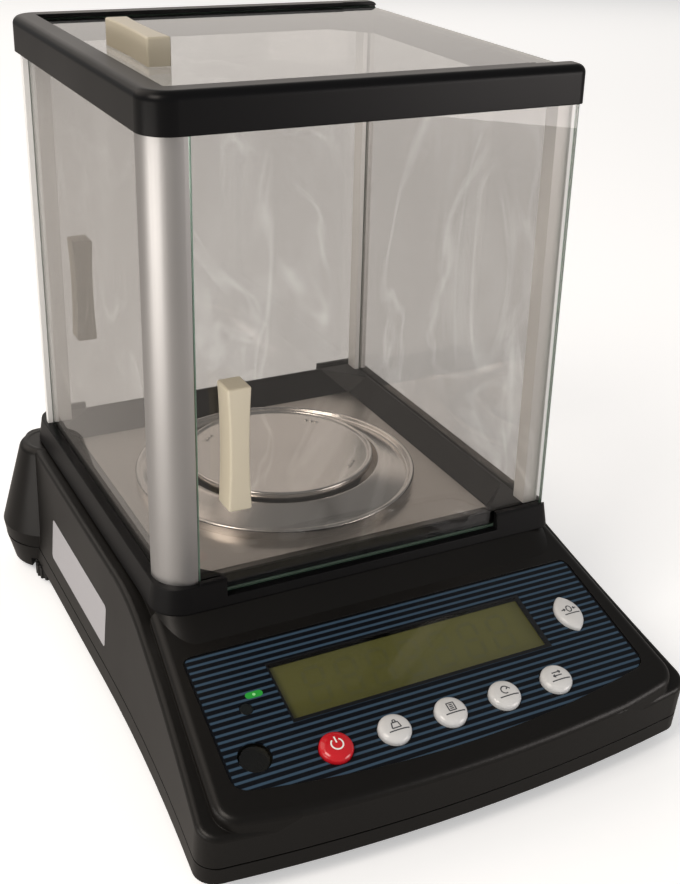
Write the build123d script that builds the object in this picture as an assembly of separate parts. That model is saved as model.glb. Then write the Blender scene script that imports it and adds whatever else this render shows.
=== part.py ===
from build123d import *
import math
import os

os.makedirs("parts", exist_ok=True)

# Axes: X to the right, Y to the back, Z up. The origin is on the table under the middle of the balance.
# All sizes are millimetres.

# Housing
foot_gap = 9.0  # from the table to the underside of the lower shell
lower_shell_h = 8.2  # height of the lower shell's side wall
deck_z = 67.2  # seat of the draft shield
shelf_drop = 1.2  # the side shelf lies this much under the seat
wall = 2.6  # moulded wall
beyond = 5.0  # cutting bodies run this far past what they cut
overlap = 1.0  # bodies that are joined run this far into each other
back_y = 140.0  # rear wall
nose_y = -146.7  # middle of the bowed front wall, at the table side
nose_lean = 7.0  # the front wall leans out this much up to the seat's height
nose_bow = 8.0  # rise of the bow over the front wall
rear_half = 103.0  # half width of the rear part, at the table side
rear_draft = 4.6  # the side walls draw in this much up to the seat's height
nose_half = 109.6  # half width of the front part
flare_y = -7.0  # the sides run straight behind this and flare in front of it
nose_corner_r = 9.0
back_corner_r = 8.0
reveal = 0.7  # dark groove along the parting line

# Console
console_y = -72.2  # upper edge of the printed panel
console_z = 59.0
console_slope = 17.2  # degrees
ledge_drop = 5.6  # the side ledges lie this much under the console
ledge_blend_r = 120.0
ledge_rear_w = 8.5  # side ledge beside the rear of the console
ledge_nose_w = 7.0  # and beside its nose
ledge_edge_r = 2.4  # rounding of the ledge's outer edge
facing_up = 0.7  # a face is a top face when its normal's Z is above this
island_front = 4.8  # the console's bowed edge stands out from the base line
island_bow = 10.8
island_corner_r = 10.0
island_edge_r = 3.4
island_tail = 8.4  # the console runs this far under the plinth

# Plinth under the draft shield
plinth_side = 2.0  # plinth beside the shield
plinth_lap = 4.0  # plinth in front of the shield and behind it
plinth_depth = 13.4
plinth_run = 22.0  # the band in front slopes out this much over its depth
plinth_side_run = 1.2
plinth_corner_r = 12.0

# Rear pods over the levelling feet
pod_in = 15.0  # pod's axis in from the side wall
pod_forward = 16.4  # and forward of the rear wall
pod_r = 26.0
pod_seam_in = 1.0  # the pod narrows this much down to the parting line
pod_wide_z = 24.0
pod_top_r = 15.5
pod_top_z = 63.0
pod_cap_r = 10.5
pod_cap_bulge = 1.34
pod_skirt_r = 21.6
pod_skirt_z = 3.4

# Printed panel and what shows in it
panel_rear_margin = 4.1  # console beside the panel's upper edge
panel_nose_margin = 10.2  # and beside its lower edge
panel_side_len = 62.0
panel_bow = 9.6
panel_top_corner_r = 4.0
panel_nose_corner_r = 7.0
panel_t = 0.8
panel_recess = 1.2
panel_gap = 0.25
panel_clear_h = 12.0  # height over the panel that is free
display_x = -1.0
display_s = 26.6
display_w = 118.0
display_h = 28.8
display_corner_r = 1.0
display_lap = 0.5  # the window's lower step is wider on each side
display_sight = 1.0  # the bezel's hole is wider than the window on each side
display_frame = 4.0
display_glass_t = 1.1
display_body_t = 5.0
lamp_margin = 17.5  # from the panel's lower left edge
lamp_s = 29.6
lamp_r = 2.5
lamp_flange = 1.5
lamp_flange_t = 1.2
level_margin = 12.6  # from the panel's lower left edge
level_s = 50.5
level_r = 6.4
level_wall = 2.3
level_flange = 1.0
level_flange_t = 1.2
level_floor = 1.2
level_gap = 0.05
level_depth = 7.0
level_sink = 0.6  # the vial lies this much under the recess
level_edge_r = 0.8

# Keys
key_pitch = 24.9
key_s = 57.2
key_r = 6.7
key_gap = 0.3
key_rise = 1.0  # straight side of a key above the panel
key_dome = 1.9  # height of its dome
key_rim = 0.6  # width of the bevel round the dome
key_rim_low = 0.3
key_rim_high = 0.5
key_flange = 1.3
key_flange_t = 1.0
key_travel = 0.8
tare_margin = 18.1  # from the panel's lower right edge
tare_s = 28.6
tare_len = 18.6
tare_w = 11.6
tare_tip_r = 2.0
tare_edge_r = 1.5
board_h = -11.0  # upper face of the display board under the console
board_t = 1.6
switch_size = 6.0
switch_h = 3.5
plunger_r = 1.7
plunger_h = 0.3
stem_r = 2.0
display_board_left = 5.5  # board beside the display module
display_board_right = 11.7  # and beside the tare key's middle
display_board_s0 = 7.0
display_board_s1 = 65.5
board_post_r = 2.5
board_post_root = 0.5  # the posts run this far into the shell
board_post_inset = 2.7
board_screw_r = 1.0
board_screw_head_r = 1.9
board_screw_head_h = 1.2
board_screw_len = 4.0
board_hole_gap = 0.2
screw_end_room = 1.0  # free thread past a screw's end

# Draft shield
shield_w = 180.0
shield_d = 184.0
shield_y = 39.6  # middle of the shield
glass_t = 3.5
glass_gap = 0.3
post_h = 181.0
lower_frame_h = 10.8
top_frame_h = 15.5
frame_lip = 2.5  # frame in front of the door glass
frame_side = 1.6  # frame beside the posts
frame_flare = 1.8
frame_corner_r = 12.0
frame_right_corner_r = 4.5
left_post = 14.7
right_post_w = 8.6
right_post_d = 8.0
right_post_r = 3.0
post_flat = 1.6  # flat flank beside the left posts' round
pane_inset = 2.6  # from the shield's side to the pane
pane_seat = 2.4  # how far a pane sits in its slots
post_slot = 2.6
pane_top_gap = 0.2
tie_r = 1.5
tie_gap = 0.2
tie_head_r = 3.0
tie_head_h = 2.2
tie_depth = 5.5  # thread in the top frame
tie_end_gap = 0.5
left_tie_in = 9.1  # tie screw's axis in from the left post's outer faces
right_tie_in = 2.7
door_left_gap = 0.4
door_floor = 6.9  # lower door track, under the posts' feet
door_lift = 0.2  # from the track to the glass
door_head = 4.4  # how far the door glass rises in the top frame
door_head_room = 1.6
tab_half = 64.2  # the track's lips stand up outside this half width
tab_rise = 1.2
bevel_half = 82.7
bevel_margin = 1.2  # from the door track to the bevel
bevel_corner = 19.0
bevel_foot_corner = 1.0

# Top frame
rail_depth = 10.5  # front and rear rails
left_rail = 10.5
left_rail_step = 0.5  # the rail is this much wider under the glass
corner_web_h = 7.0  # webs over the posts
corner_web = 17.0
top_lip_t = 1.9
top_lip_relief = 1.6
top_relief_x = 72.0
top_glass_seat = 3.6
top_glass_left_x = -86.0
top_glass_right_x = 88.3
frame_edge_r = 3.6

# Door handles
handle_w = 9.6
handle_len = 51.8
handle_depth = 11.0
handle_waist = 1.1
handle_edge_r = 0.9
handle_x = -61.3
handle_mid_z = 61.4  # above the posts' feet
top_handle_x = -66.4
top_handle_y = 26.8

# Chamber floor
plate_w = 146.5
plate_d = 141.8
plate_t = 1.2
plate_rise = 2.3
plate_gap = 0.3
plate_hole_r = 40.0
plate_ledge = 3.0  # flange of the frame under the plate
ring_r = 65.0
ring_inner_r = 47.2
ring_h = 4.8
ring_t = 1.0
ring_foot_w = 8.0  # flat foot beside the inner edge
ring_lip_h = 1.2  # upturned inner edge
ring_band_w = 8.0  # raised shoulder beside the rolled rim
ring_band_drop = 1.8  # the shoulder lies this much under the rim
ring_roll = 2.8  # width of the rolled rim
ring_roll_drop = 0.4
pan_r = 44.7
pan_t = 1.2
pan_rise = 10.1  # from the chamber floor to the underside of the pan
pan_rim_h = 1.0  # rolled rim over the flat
pan_rim_w = 2.6
pan_rim_drop = 1.2  # the rim reaches this much under the flat
pan_rim_r = 0.9
pan_rim_fall = 0.3
pan_rim_t = 1.2
pan_rim_slope = 0.4
pan_hub_r = 9.0
pan_hub_h = 7.0
pan_hub_web = 0.4  # solid over the hub's bore

# Weighing cell
spindle_r = 5.9
spindle_gap = 0.1
spindle_end_gap = 0.4
spindle_collar = 2.4
deck_hole_r = 12.0
cell_len = 124.0
cell_w = 30.0
cell_h = 24.0
cell_seat_h = 4.0  # from the chassis plate to the bar
cell_end = 22.0
cell_window_r = 8.0
cell_window_pitch = 26.0
cell_slit_half = 3.0
arm_t = 4.0
arm_w = 26.0
arm_corner_r = 4.0
spacer_t = 1.0
spacer_inset = 1.0
chassis_w = 118.0
chassis_d = 132.0
chassis_t = 5.0
chassis_z = 21.0
chassis_boss_r = 6.0
chassis_boss_inset = 10.0
chassis_corner_r = 8.0
chassis_slot_x = 33.0
chassis_slot_len = 70.0
chassis_slot_w = 18.0

# Feet
foot_out = 4.0  # levelling foot outside the pod's axis
foot_forward = 21.0  # and in front of it
wheel_r = 12.6
wheel_h = 6.0
wheel_gap = 0.2
wheel_flutes = 24
flute_r = 1.0
pad_r = 9.0
pad_h = 2.2
pad_edge = 0.5
pad_bore = 1.4
screw_r = 4.0
screw_tip_r = 3.0
screw_tip_gap = 0.2
screw_gap = 0.05
screw_top_z = 27.0
wheel_room = 2.2  # hollow round the wheel in the pod's skirt
front_foot_in = 25.6  # from the nose's side
front_foot_back = 34.7  # from the nose
front_foot_r = 10.0
front_foot_edge = 1.2
boss_wall = 2.4

# Battery, boards and sockets
battery_in = 51.0  # middle of the battery bay from the left side wall
battery_back = 58.7  # and from the nose
battery_w = 66.0
battery_d = 46.0
battery_h = 15.0
battery_gap = 1.0
battery_corner_r = 2.0
battery_plug_w = 10.0
battery_plug_d = 5.0
battery_plug_in = 4.0
battery_plug_back = 3.0
battery_plug_h = 2.0  # the plug stands this much over the block
cover_t = 2.0
cover_gap = 0.3
cover_rim = 3.0
scallop_r = 7.0
scallop_in = 6.0
scallop_depth = 1.0
main_board_in = 58.0  # middle of the main board from the right side wall
main_board_back = 60.7  # and from the nose
main_board_w = 82.0
main_board_d = 52.0
main_board_z = 20.0
pillar_r = 3.0
pillar_inset = 5.0
main_board_t = 1.6
processor_w = 14.0
processor_h = 1.6
processor_dx = -14.0
processor_dy = 2.0
converter_w = 20.0
converter_d = 9.0
converter_h = 2.0
converter_dx = 12.0
converter_dy = -6.0
memory_w = 9.0
memory_h = 1.4
memory_dx = 10.0
memory_dy = 12.0
header_w = 6.0
header_d = 22.0
header_h = 6.0
header_dx = -31.0
capacitor_r = 2.5
capacitor_h = 7.0
capacitor_dx = 27.0
capacitor_dy = -2.0
capacitor_pitch = 6.0
inlet_x = -52.0
inlet_z = 36.0
inlet_w = 14.0
inlet_h = 11.0
inlet_depth = 15.0
inlet_r = 3.2
inlet_bore_depth = 10.0
inlet_pin_r = 1.0
inlet_pin_sink = 0.5
port_x = 38.0
port_z = 36.0
port_w = 31.0
port_h = 12.6
port_depth = 11.0
port_shell_top = 8.6  # half width of the plug's shell at its upper edge
port_shell_low = 7.2
port_shell_half_h = 4.2
port_shell_r = 1.8
port_shell_t = 0.7
port_shell_out = 5.5
socket_gap = 0.25

# Case screws
case_screw_r = 1.5
case_head_r = 2.8
case_head_h = 1.8
case_head_sink = 0.4
case_head_gap = 0.3
case_hole_gap = 0.2
case_boss_r = 4.5
case_screw_grip = 8.0
thread_gap = 0.05
case_front_in = 9.6
case_front_back = 26.7
case_middle_in = 9.0
case_middle_y = 30.0
case_rear_x = 57.0
case_rear_in = 23.0

# Places worked out from the sizes above
parting_z = foot_gap + lower_shell_h
floor_z = foot_gap + wall
shelf_z = deck_z - shelf_drop
post_z = deck_z + lower_frame_h
top_z = post_z + post_h
track_z = post_z - door_floor
crown_z = top_z + top_frame_h
slope = math.radians(console_slope)
half_w = shield_w / 2
track_half = shield_d / 2
plinth_half = half_w + plinth_side
plinth_front_y = shield_y - track_half - plinth_lap
plinth_back_y = shield_y + track_half + plinth_lap
island_rear_half = rear_half - ledge_rear_w
island_nose_half = nose_half - ledge_nose_w
island_nose_y = nose_y - island_front
island_back_y = plinth_front_y + island_tail
panel_top_half = island_rear_half - panel_rear_margin
panel_nose_half = island_nose_half - panel_nose_margin
lamp_x = lamp_margin - panel_nose_half
level_x = level_margin - panel_nose_half
tare_x = panel_nose_half - tare_margin
display_board_x0 = display_x - display_w / 2 - display_frame - display_board_left
display_board_x1 = tare_x + display_board_right
pod_x = rear_half - pod_in
pod_y = back_y - pod_forward
foot_x = pod_x + foot_out
foot_y = pod_y - foot_forward
front_foot_x = nose_half - front_foot_in
front_foot_y = nose_y + front_foot_back
battery_x = battery_in - rear_half
battery_y = nose_y + battery_back
main_board_x = rear_half - main_board_in
main_board_y = nose_y + main_board_back
case_points = (
    (nose_half - case_front_in, nose_y + case_front_back),
    (rear_half - case_middle_in, case_middle_y),
    (case_rear_x, back_y - case_rear_in),
)
groove_in = track_half - glass_t - glass_gap
groove_out = track_half + glass_gap
frame_half_d = shield_d / 2 + frame_lip
frame_half_w = half_w + frame_side
pane_out = half_w - pane_inset
pane_in = pane_out - glass_t
plate_z = deck_z + plate_rise
flange_z = plate_z - plate_t
pan_under_z = plate_z + pan_rise
cell_z = chassis_z + chassis_t + cell_seat_h
under_console_h = -wall
door_x0 = -half_w + left_post + door_left_gap
channel_half = frame_half_d - rail_depth + top_glass_seat
right_post_y = -shield_d / 2 + glass_t + 2 * glass_gap  # the right posts stand behind the door glass
console = Plane((0, console_y, console_z), x_dir=(1, 0, 0), z_dir=(0, -math.sin(slope), math.cos(slope)))
console_up = Axis(console.origin, console.z_dir)
channel_z = crown_z - top_lip_t - glass_t - 2 * glass_gap


def save(name, shape):
    """Write one sub-part to its own file."""
    export_step(shape, f"parts/{name}.step")


def box(x0, x1, y0, y1, z0, z1):
    """Box between two corners."""
    corner = (Align.MIN, Align.MIN, Align.MIN)
    return Pos(x0, y0, z0) * Box(x1 - x0, y1 - y0, z1 - z0, align=corner)


def rod(x, y, z0, z1, r):
    """Upright cylinder between two heights."""
    seat = (Align.CENTER, Align.CENTER, Align.MIN)
    return Pos(x, y, z0) * Cylinder(r, z1 - z0, align=seat)


def on_console(x, s, h0, h1, shape):
    """Extrude a flat shape on the console, s millimetres down its slope, between two heights."""
    lifted = console * (Pos(x, -s, h0) * shape)
    return extrude(lifted, amount=h1 - h0, dir=console.z_dir)


def mirror_x(shape):
    """The same shape on the other side of the balance."""
    return mirror(shape, Plane.YZ)


def mirror_shield(shape):
    """The same shape on the other side of the shield's middle, front to back."""
    return mirror(shape, Plane.XZ.offset(-shield_y))


# Housing forms


def plan_at(z, inset):
    """Plan of the housing at one height: straight sides at the rear, a flare and a bowed nose."""
    up = (z - foot_gap) / (deck_z - foot_gap)
    rear_x = rear_half - rear_draft * up - inset
    nose_x = nose_half - inset
    mid_y = nose_y - nose_lean * up + inset
    corner_y = mid_y + nose_bow
    rear_y = back_y - inset
    edges = [
        Line((-rear_x, rear_y), (rear_x, rear_y)),
        Line((rear_x, rear_y), (rear_x, flare_y)),
        TangentArc((rear_x, flare_y), (nose_x, corner_y), tangent=(0, -1)),
        ThreePointArc((nose_x, corner_y), (0, mid_y), (-nose_x, corner_y)),
        TangentArc((-rear_x, flare_y), (-nose_x, corner_y), tangent=(0, -1)),
        Line((-rear_x, flare_y), (-rear_x, rear_y)),
    ]
    plan = make_face(edges)
    nose = plan.vertices().sort_by(Axis.Y)[:2]
    plan = fillet(nose, nose_corner_r - inset)
    rear = plan.vertices().sort_by(Axis.Y)[-2:]
    plan = fillet(rear, back_corner_r - inset)
    return Pos(0, 0, z) * plan


def shell_walls(z0, z1, inset):
    """Solid between two plans of the housing."""
    return loft([plan_at(z0, inset).face(), plan_at(z1, inset).face()], ruled=True)


def ledge_z(y):
    """Height of the side ledge's slope at one place."""
    return console_z - ledge_drop + (y - console_y) * math.tan(slope)


def under_ledge(drop):
    """Everything under the side shelf, the blend and the sloping ledge."""
    far = 2 * beyond + nose_lean
    far_y = nose_y - far
    knee_y = console_y + (shelf_z - console_z + ledge_drop) / math.tan(slope)
    outline = Polyline(
        (back_y + pod_r + far, 0),
        (back_y + pod_r + far, shelf_z - drop),
        (knee_y, shelf_z - drop),
        (far_y, ledge_z(far_y) - drop),
        (far_y, 0),
        close=True,
    )
    side = Plane.YZ * make_face(outline)
    knee = [v for v in side.vertices() if abs(v.Y - knee_y) < 0.01]
    side = fillet(knee, ledge_blend_r)
    return extrude(side, amount=2 * nose_half, both=True)


def island_plan(inset):
    """Plan of the raised console between its side ledges."""
    rear_x = island_rear_half - inset
    nose_x = island_nose_half - inset
    mid_y = island_nose_y + inset
    corner_y = mid_y + island_bow
    edges = [
        Line((-rear_x, island_back_y), (rear_x, island_back_y)),
        Line((rear_x, island_back_y), (nose_x, corner_y)),
        ThreePointArc((nose_x, corner_y), (0, mid_y), (-nose_x, corner_y)),
        Line((-nose_x, corner_y), (-rear_x, island_back_y)),
    ]
    plan = make_face(edges)
    nose = plan.vertices().sort_by(Axis.Y)[:2]
    return fillet(nose, island_corner_r - inset)


def island(walls, inset, drop):
    """Raised console: inside the housing walls, under the console's slope."""
    prism = Pos(0, 0, parting_z) * extrude(island_plan(inset), amount=deck_z)
    cut = console * (Pos(0, 0, -drop) * Rectangle(4 * nose_half, 4 * nose_half))
    above = extrude(cut, amount=deck_z, dir=console.z_dir)
    return (walls & prism) - above


def plinth(inset, drop, base_z):
    """Block under the draft shield with a sloping band in front."""
    top = deck_z - drop
    rise = plinth_run / plinth_depth
    side_rise = plinth_side_run / plinth_depth
    faces = []
    for z in (base_z, top):
        down = deck_z - z
        half = plinth_half + side_rise * down - inset
        front = plinth_front_y - rise * down + inset
        rear = plinth_back_y + side_rise * down - inset
        plan = RectangleRounded(2 * half, rear - front, plinth_corner_r - inset)
        faces.append((Pos(0, (front + rear) / 2, z) * plan).face())
    return loft(faces, ruled=True)


def pod(inset, drop):
    """Rounded rear pod, upper half, for the right side."""
    points = [
        (0, parting_z),
        (pod_r - pod_seam_in - inset, parting_z),
        (pod_r - inset, pod_wide_z),
        (pod_top_r - inset, pod_top_z - drop),
    ]
    top = shelf_z - drop
    side = Polyline(*points)
    cap = SagittaArc(points[-1], (pod_cap_r - inset, top), -pod_cap_bulge)
    lid = Polyline((pod_cap_r - inset, top), (0, top), (0, parting_z))
    profile = Plane.XZ * make_face(side.edges() + cap.edges() + lid.edges())
    return Pos(pod_x, pod_y, 0) * revolve(profile, Axis.Z)


def pod_skirt(inset, low, high):
    """Rounded rear pod under the parting line, for the right side."""
    low_r = pod_skirt_r - inset
    high_r = pod_r - pod_seam_in - inset
    outline = Polyline((0, low), (low_r, low), (high_r, high), (0, high), close=True)
    profile = Plane.XZ * make_face(outline)
    return Pos(pod_x, pod_y, 0) * revolve(profile, Axis.Z)


def ledge_rim(base):
    """Outer edges of the side ledges, each on one top face only, as far back as the pods."""
    tops = [f for f in base.faces() if f.normal_at().Z > facing_up]
    edges = [e for f in tops for e in f.edges()]
    middles = [e.center() for e in edges]
    return [e for e in edges if middles.count(e.center()) == 1 and e.center().Y < pod_y - pod_r]


def upper_form(inset, drop, rounded):
    """Solid outer or inner form of the upper shell."""
    walls = shell_walls(parting_z, deck_z + beyond, inset)
    raised = island(walls, inset, drop)
    if rounded:
        rim = raised.faces().sort_by(Axis.Z)[-1].edges()
        raised = fillet([e for e in rim if e.center().Y < island_back_y - overlap], island_edge_r)
    base = walls & under_ledge(drop)
    if rounded:
        base = fillet(ledge_rim(base), ledge_edge_r)
    form = base + raised
    form += plinth(inset, drop, deck_z - plinth_depth)
    form += pod(inset, drop)
    form += mirror_x(pod(inset, drop))
    return form


# Console openings


def panel_plan(gap):
    """Outline of the printed panel: wider and bowed towards the front."""
    top = panel_top_half - gap
    low = panel_nose_half - gap
    edges = [
        Line((-top, -gap), (top, -gap)),
        Line((top, -gap), (low, -panel_side_len + gap)),
        ThreePointArc(
            (low, -panel_side_len + gap),
            (0, -panel_side_len - panel_bow + gap),
            (-low, -panel_side_len + gap),
        ),
        Line((-low, -panel_side_len + gap), (-top, -gap)),
    ]
    plan = make_face(edges)
    upper = plan.vertices().sort_by(Axis.Y)[-2:]
    plan = fillet(upper, panel_top_corner_r)
    lower = plan.vertices().sort_by(Axis.Y)[:2]
    return fillet(lower, panel_nose_corner_r)


def tare_plan(grow):
    """Lens shape of the tare key: two arcs that meet in blunt points."""
    half_len = tare_len / 2 + grow
    half_wide = tare_w / 2 + grow
    edges = [
        ThreePointArc((0, half_len), (half_wide, 0), (0, -half_len)),
        ThreePointArc((0, -half_len), (-half_wide, 0), (0, half_len)),
    ]
    plan = make_face(edges)
    return fillet(plan.vertices(), tare_tip_r + grow)


def key_places():
    """Names and places of the keys in the front row."""
    names = ("key_power", "key_calibrate", "key_print", "key_mode", "key_units")
    middle = (len(names) - 1) / 2
    return [(name, (i - middle) * key_pitch) for i, name in enumerate(names)]


def console_holes(top, low):
    """Holes for the keys, the lamp and the level."""
    holes = on_console(tare_x, tare_s, low, top, tare_plan(key_gap))
    for name, x in key_places():
        holes += on_console(x, key_s, low, top, Circle(key_r + key_gap))
    holes += on_console(lamp_x, lamp_s, low, top, Circle(lamp_r + panel_gap))
    holes += on_console(level_x, level_s, low, top, Circle(level_r + panel_gap))
    return holes


def display_rect(grow):
    """Rectangle of the display window."""
    return RectangleRounded(display_w + 2 * grow, display_h + 2 * grow, display_corner_r + grow)


# Upper and lower shells


def column(x, y, z0, r, form):
    """Screw column from one height up into the shell."""
    return rod(x, y, z0, deck_z + beyond, r) & form


def both_sides(points):
    """Places on both sides of the balance."""
    return [(side * x, y) for x, y in points for side in (1, -1)]


def upper_housing():
    """Upper moulding: console, plinth and deck in one shell."""
    form = upper_form(0, 0, True)
    shell = form - upper_form(wall, wall, False)
    for x, y in both_sides(case_points):
        shell += column(x, y, parting_z, case_boss_r, form)
        thread_end = parting_z + case_screw_grip + screw_end_room
        shell -= rod(x, y, parting_z - beyond, thread_end, case_screw_r + thread_gap)
    for x, places in board_post_places():
        for s in places:
            shell += on_console(x, s, board_h, under_console_h + board_post_root, Circle(board_post_r))
            bore = Circle(board_screw_r + thread_gap)
            shell -= on_console(x, s, board_h - beyond, board_h + board_screw_len, bore)
    shell -= on_console(0, 0, -panel_recess, panel_clear_h, panel_plan(0))
    shell -= console_holes(beyond, under_console_h - beyond)
    shell -= on_console(display_x, display_s, under_console_h - beyond, beyond, display_rect(display_lap))
    deck_under = deck_z - wall - beyond
    shell -= rod(0, shield_y, deck_under, deck_z + beyond, deck_hole_r)
    for x, y in tie_places():
        shell -= rod(x, y, deck_under, deck_z + beyond, tie_r + tie_gap)
    shell -= socket_cuts()
    return shell


def socket_cuts():
    """Cut-outs of the power inlet and the data port in the rear wall."""
    grow = socket_gap
    inlet = box(
        inlet_x - inlet_w / 2 - grow,
        inlet_x + inlet_w / 2 + grow,
        back_y - wall - beyond,
        back_y + beyond,
        inlet_z - inlet_h / 2 - grow,
        inlet_z + inlet_h / 2 + grow,
    )
    port = box(
        port_x - port_w / 2 - grow,
        port_x + port_w / 2 + grow,
        back_y - wall - beyond,
        back_y + beyond,
        port_z - port_h / 2 - grow,
        port_z + port_h / 2 + grow,
    )
    return inlet + port


def foot_boss(x, y):
    """Threaded boss for a levelling screw."""
    return rod(x, y, foot_gap, screw_top_z + boss_wall, screw_r + boss_wall)


def foot_space(x, y):
    """What a levelling wheel and its screw need free."""
    space = rod(x, y, -beyond, foot_gap, wheel_r + wheel_room)
    return space + rod(x, y, 0, screw_top_z + screw_end_room, screw_r + screw_gap)


def chassis_bosses():
    """Places of the pillars under the weighing chassis."""
    x = chassis_w / 2 - chassis_boss_inset
    y = chassis_d / 2 - chassis_boss_inset
    return [(sx * x, shield_y + sy * y) for sx in (1, -1) for sy in (1, -1)]


def board_pillars():
    """Places of the pillars under the main board."""
    x = main_board_w / 2 - pillar_inset
    y = main_board_d / 2 - pillar_inset
    return [(main_board_x + sx * x, main_board_y + sy * y) for sx in (1, -1) for sy in (1, -1)]


def lower_housing():
    """Lower moulding: bottom, side wall, foot pockets and the pillars for what it carries."""
    shell = shell_walls(foot_gap, parting_z - reveal, 0)
    shell += shell_walls(parting_z - reveal - overlap, parting_z, reveal)
    skirt = pod_skirt(0, pod_skirt_z, parting_z - reveal)
    skirt += rod(pod_x, pod_y, parting_z - reveal - overlap, parting_z, pod_r - pod_seam_in - reveal)
    shell += skirt + mirror_x(skirt)
    shell -= shell_walls(floor_z, parting_z + beyond, wall)
    hollow = pod_skirt(wall, floor_z, parting_z + beyond)
    shell -= hollow + mirror_x(hollow)
    for x, y in both_sides(((foot_x, foot_y),)):
        shell += foot_boss(x, y)
        shell -= foot_space(x, y)
    for x, y in chassis_bosses():
        shell += rod(x, y, foot_gap, chassis_z, chassis_boss_r)
    for x, y in board_pillars():
        shell += rod(x, y, foot_gap, main_board_z, pillar_r)
        bore_z = main_board_z - board_screw_len
        shell -= rod(x, y, bore_z, main_board_z + beyond, board_screw_r + thread_gap)
    for x, y in both_sides(case_points):
        shell += rod(x, y, foot_gap, parting_z, case_boss_r)
        shell -= rod(x, y, 0, parting_z + beyond, case_screw_r + case_hole_gap)
        shell -= rod(x, y, 0, foot_gap + case_head_h + case_head_sink, case_head_r + case_head_gap)
    return shell - battery_cut()


def battery_cut():
    """Opening of the battery bay with the rebate for its cover."""
    x0 = battery_x - battery_w / 2
    y0 = battery_y - battery_d / 2
    hole = box(x0, x0 + battery_w, y0, y0 + battery_d, 0, floor_z + beyond)
    rim = cover_rim
    rebate = box(x0 - rim, x0 + battery_w + rim, y0 - rim, y0 + battery_d + rim, 0, foot_gap + cover_t)
    return hole + rebate


def battery_cover():
    """Flat cover of the battery bay with a finger scallop."""
    x = battery_w / 2 + cover_rim - cover_gap
    y = battery_d / 2 + cover_rim - cover_gap
    cover = box(battery_x - x, battery_x + x, battery_y - y, battery_y + y, foot_gap, foot_gap + cover_t)
    return cover - rod(battery_x, battery_y - y + scallop_in, 0, foot_gap + scallop_depth, scallop_r)


def battery_pack():
    """Rechargeable block that lies on its cover."""
    x = battery_w / 2 - battery_gap
    y = battery_d / 2 - battery_gap
    z0 = foot_gap + cover_t
    top = z0 + battery_h
    body = box(battery_x - x, battery_x + x, battery_y - y, battery_y + y, z0, top)
    body = fillet(body.edges().filter_by(Axis.Z), battery_corner_r)
    plug_x = battery_x + x - battery_plug_in
    plug_y = battery_y + y - battery_plug_back
    return body + box(
        plug_x - battery_plug_w,
        plug_x,
        plug_y - battery_plug_d,
        plug_y,
        top - overlap,
        top + battery_plug_h,
    )


# What the console carries


def console_panel():
    """Printed panel in its shallow recess."""
    sheet = on_console(0, 0, -panel_recess, -panel_recess + panel_t, panel_plan(panel_gap))
    sheet -= console_holes(beyond, -beyond)
    return sheet - on_console(display_x, display_s, -beyond, beyond, display_rect(0))


def display_window():
    """Clear window that fills the cut-out of the panel."""
    low = -wall
    high = -panel_recess + panel_t
    step = -panel_recess
    glass = on_console(display_x, display_s, low, step, display_rect(display_lap - panel_gap))
    return glass + on_console(display_x, display_s, step, high, display_rect(-panel_gap))


def display_module():
    """Display cell with its bezel, on the display board."""
    outer = Rectangle(display_w + 2 * display_frame, display_h + 2 * display_frame)
    body = on_console(display_x, display_s, board_h, board_h + display_body_t, outer)
    top = board_h + display_body_t
    bezel = on_console(display_x, display_s, top, under_console_h, outer)
    sight = display_rect(display_sight)
    return body + (bezel - on_console(display_x, display_s, top + display_glass_t, under_console_h, sight))


def display_board():
    """Circuit board with the six switches, screwed under the console."""
    wide = display_board_x1 - display_board_x0
    tall = display_board_s1 - display_board_s0
    mid_x = (display_board_x0 + display_board_x1) / 2
    mid_s = (display_board_s0 + display_board_s1) / 2
    board = on_console(mid_x, mid_s, board_h - board_t, board_h, Rectangle(wide, tall))
    for x, s in [(x, key_s) for name, x in key_places()] + [(tare_x, tare_s)]:
        board += on_console(x, s, board_h, board_h + switch_h, Rectangle(switch_size, switch_size))
        board += on_console(x, s, board_h, board_h + switch_h + plunger_h, Circle(plunger_r))
    for x, places in board_post_places():
        for s in places:
            hole = Circle(board_screw_r + board_hole_gap)
            board -= on_console(x, s, board_h - board_t - beyond, board_h + beyond, hole)
    return board


def key_stem(x, s):
    """Stem and retaining flange under a key's cap."""
    reach = board_h + switch_h + plunger_h + key_travel
    return on_console(x, s, reach, under_console_h, Circle(stem_r))


def round_key(x):
    """Round key with a domed top."""
    base = -panel_recess + panel_t + key_rise
    rim = key_r - key_rim
    foot = base + key_rim_high
    sphere_r = (rim**2 + key_dome**2) / (2 * key_dome)
    cap = on_console(x, key_s, under_console_h, base, Circle(key_r))
    flange = Circle(key_r + key_flange)
    cap += on_console(x, key_s, under_console_h - key_flange_t, under_console_h, flange)
    outline = Polyline((0, base), (key_r, base), (key_r, base + key_rim_low), (rim, foot))
    arc = ThreePointArc(
        (rim, foot),
        (rim / 2, foot + key_dome - sphere_r + math.sqrt(sphere_r**2 - (rim / 2) ** 2)),
        (0, foot + key_dome),
    )
    axis_line = Line((0, foot + key_dome), (0, base))
    profile = Plane.XZ * make_face(outline.edges() + arc.edges() + axis_line.edges())
    dome = console * (Pos(x, -key_s, 0) * revolve(profile, Axis.Z))
    return cap + dome + key_stem(x, key_s)


def tare_key():
    """Lens-shaped key with a rounded top."""
    high = -panel_recess + panel_t + key_rise + key_dome
    cap = on_console(tare_x, tare_s, under_console_h, high, tare_plan(0))
    crown = cap.faces().sort_by(console_up)[-1]
    cap = fillet(crown.edges(), tare_edge_r)
    flange_h = under_console_h - key_flange_t
    cap += on_console(tare_x, tare_s, flange_h, under_console_h, tare_plan(key_flange))
    return cap + key_stem(tare_x, tare_s)


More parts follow.
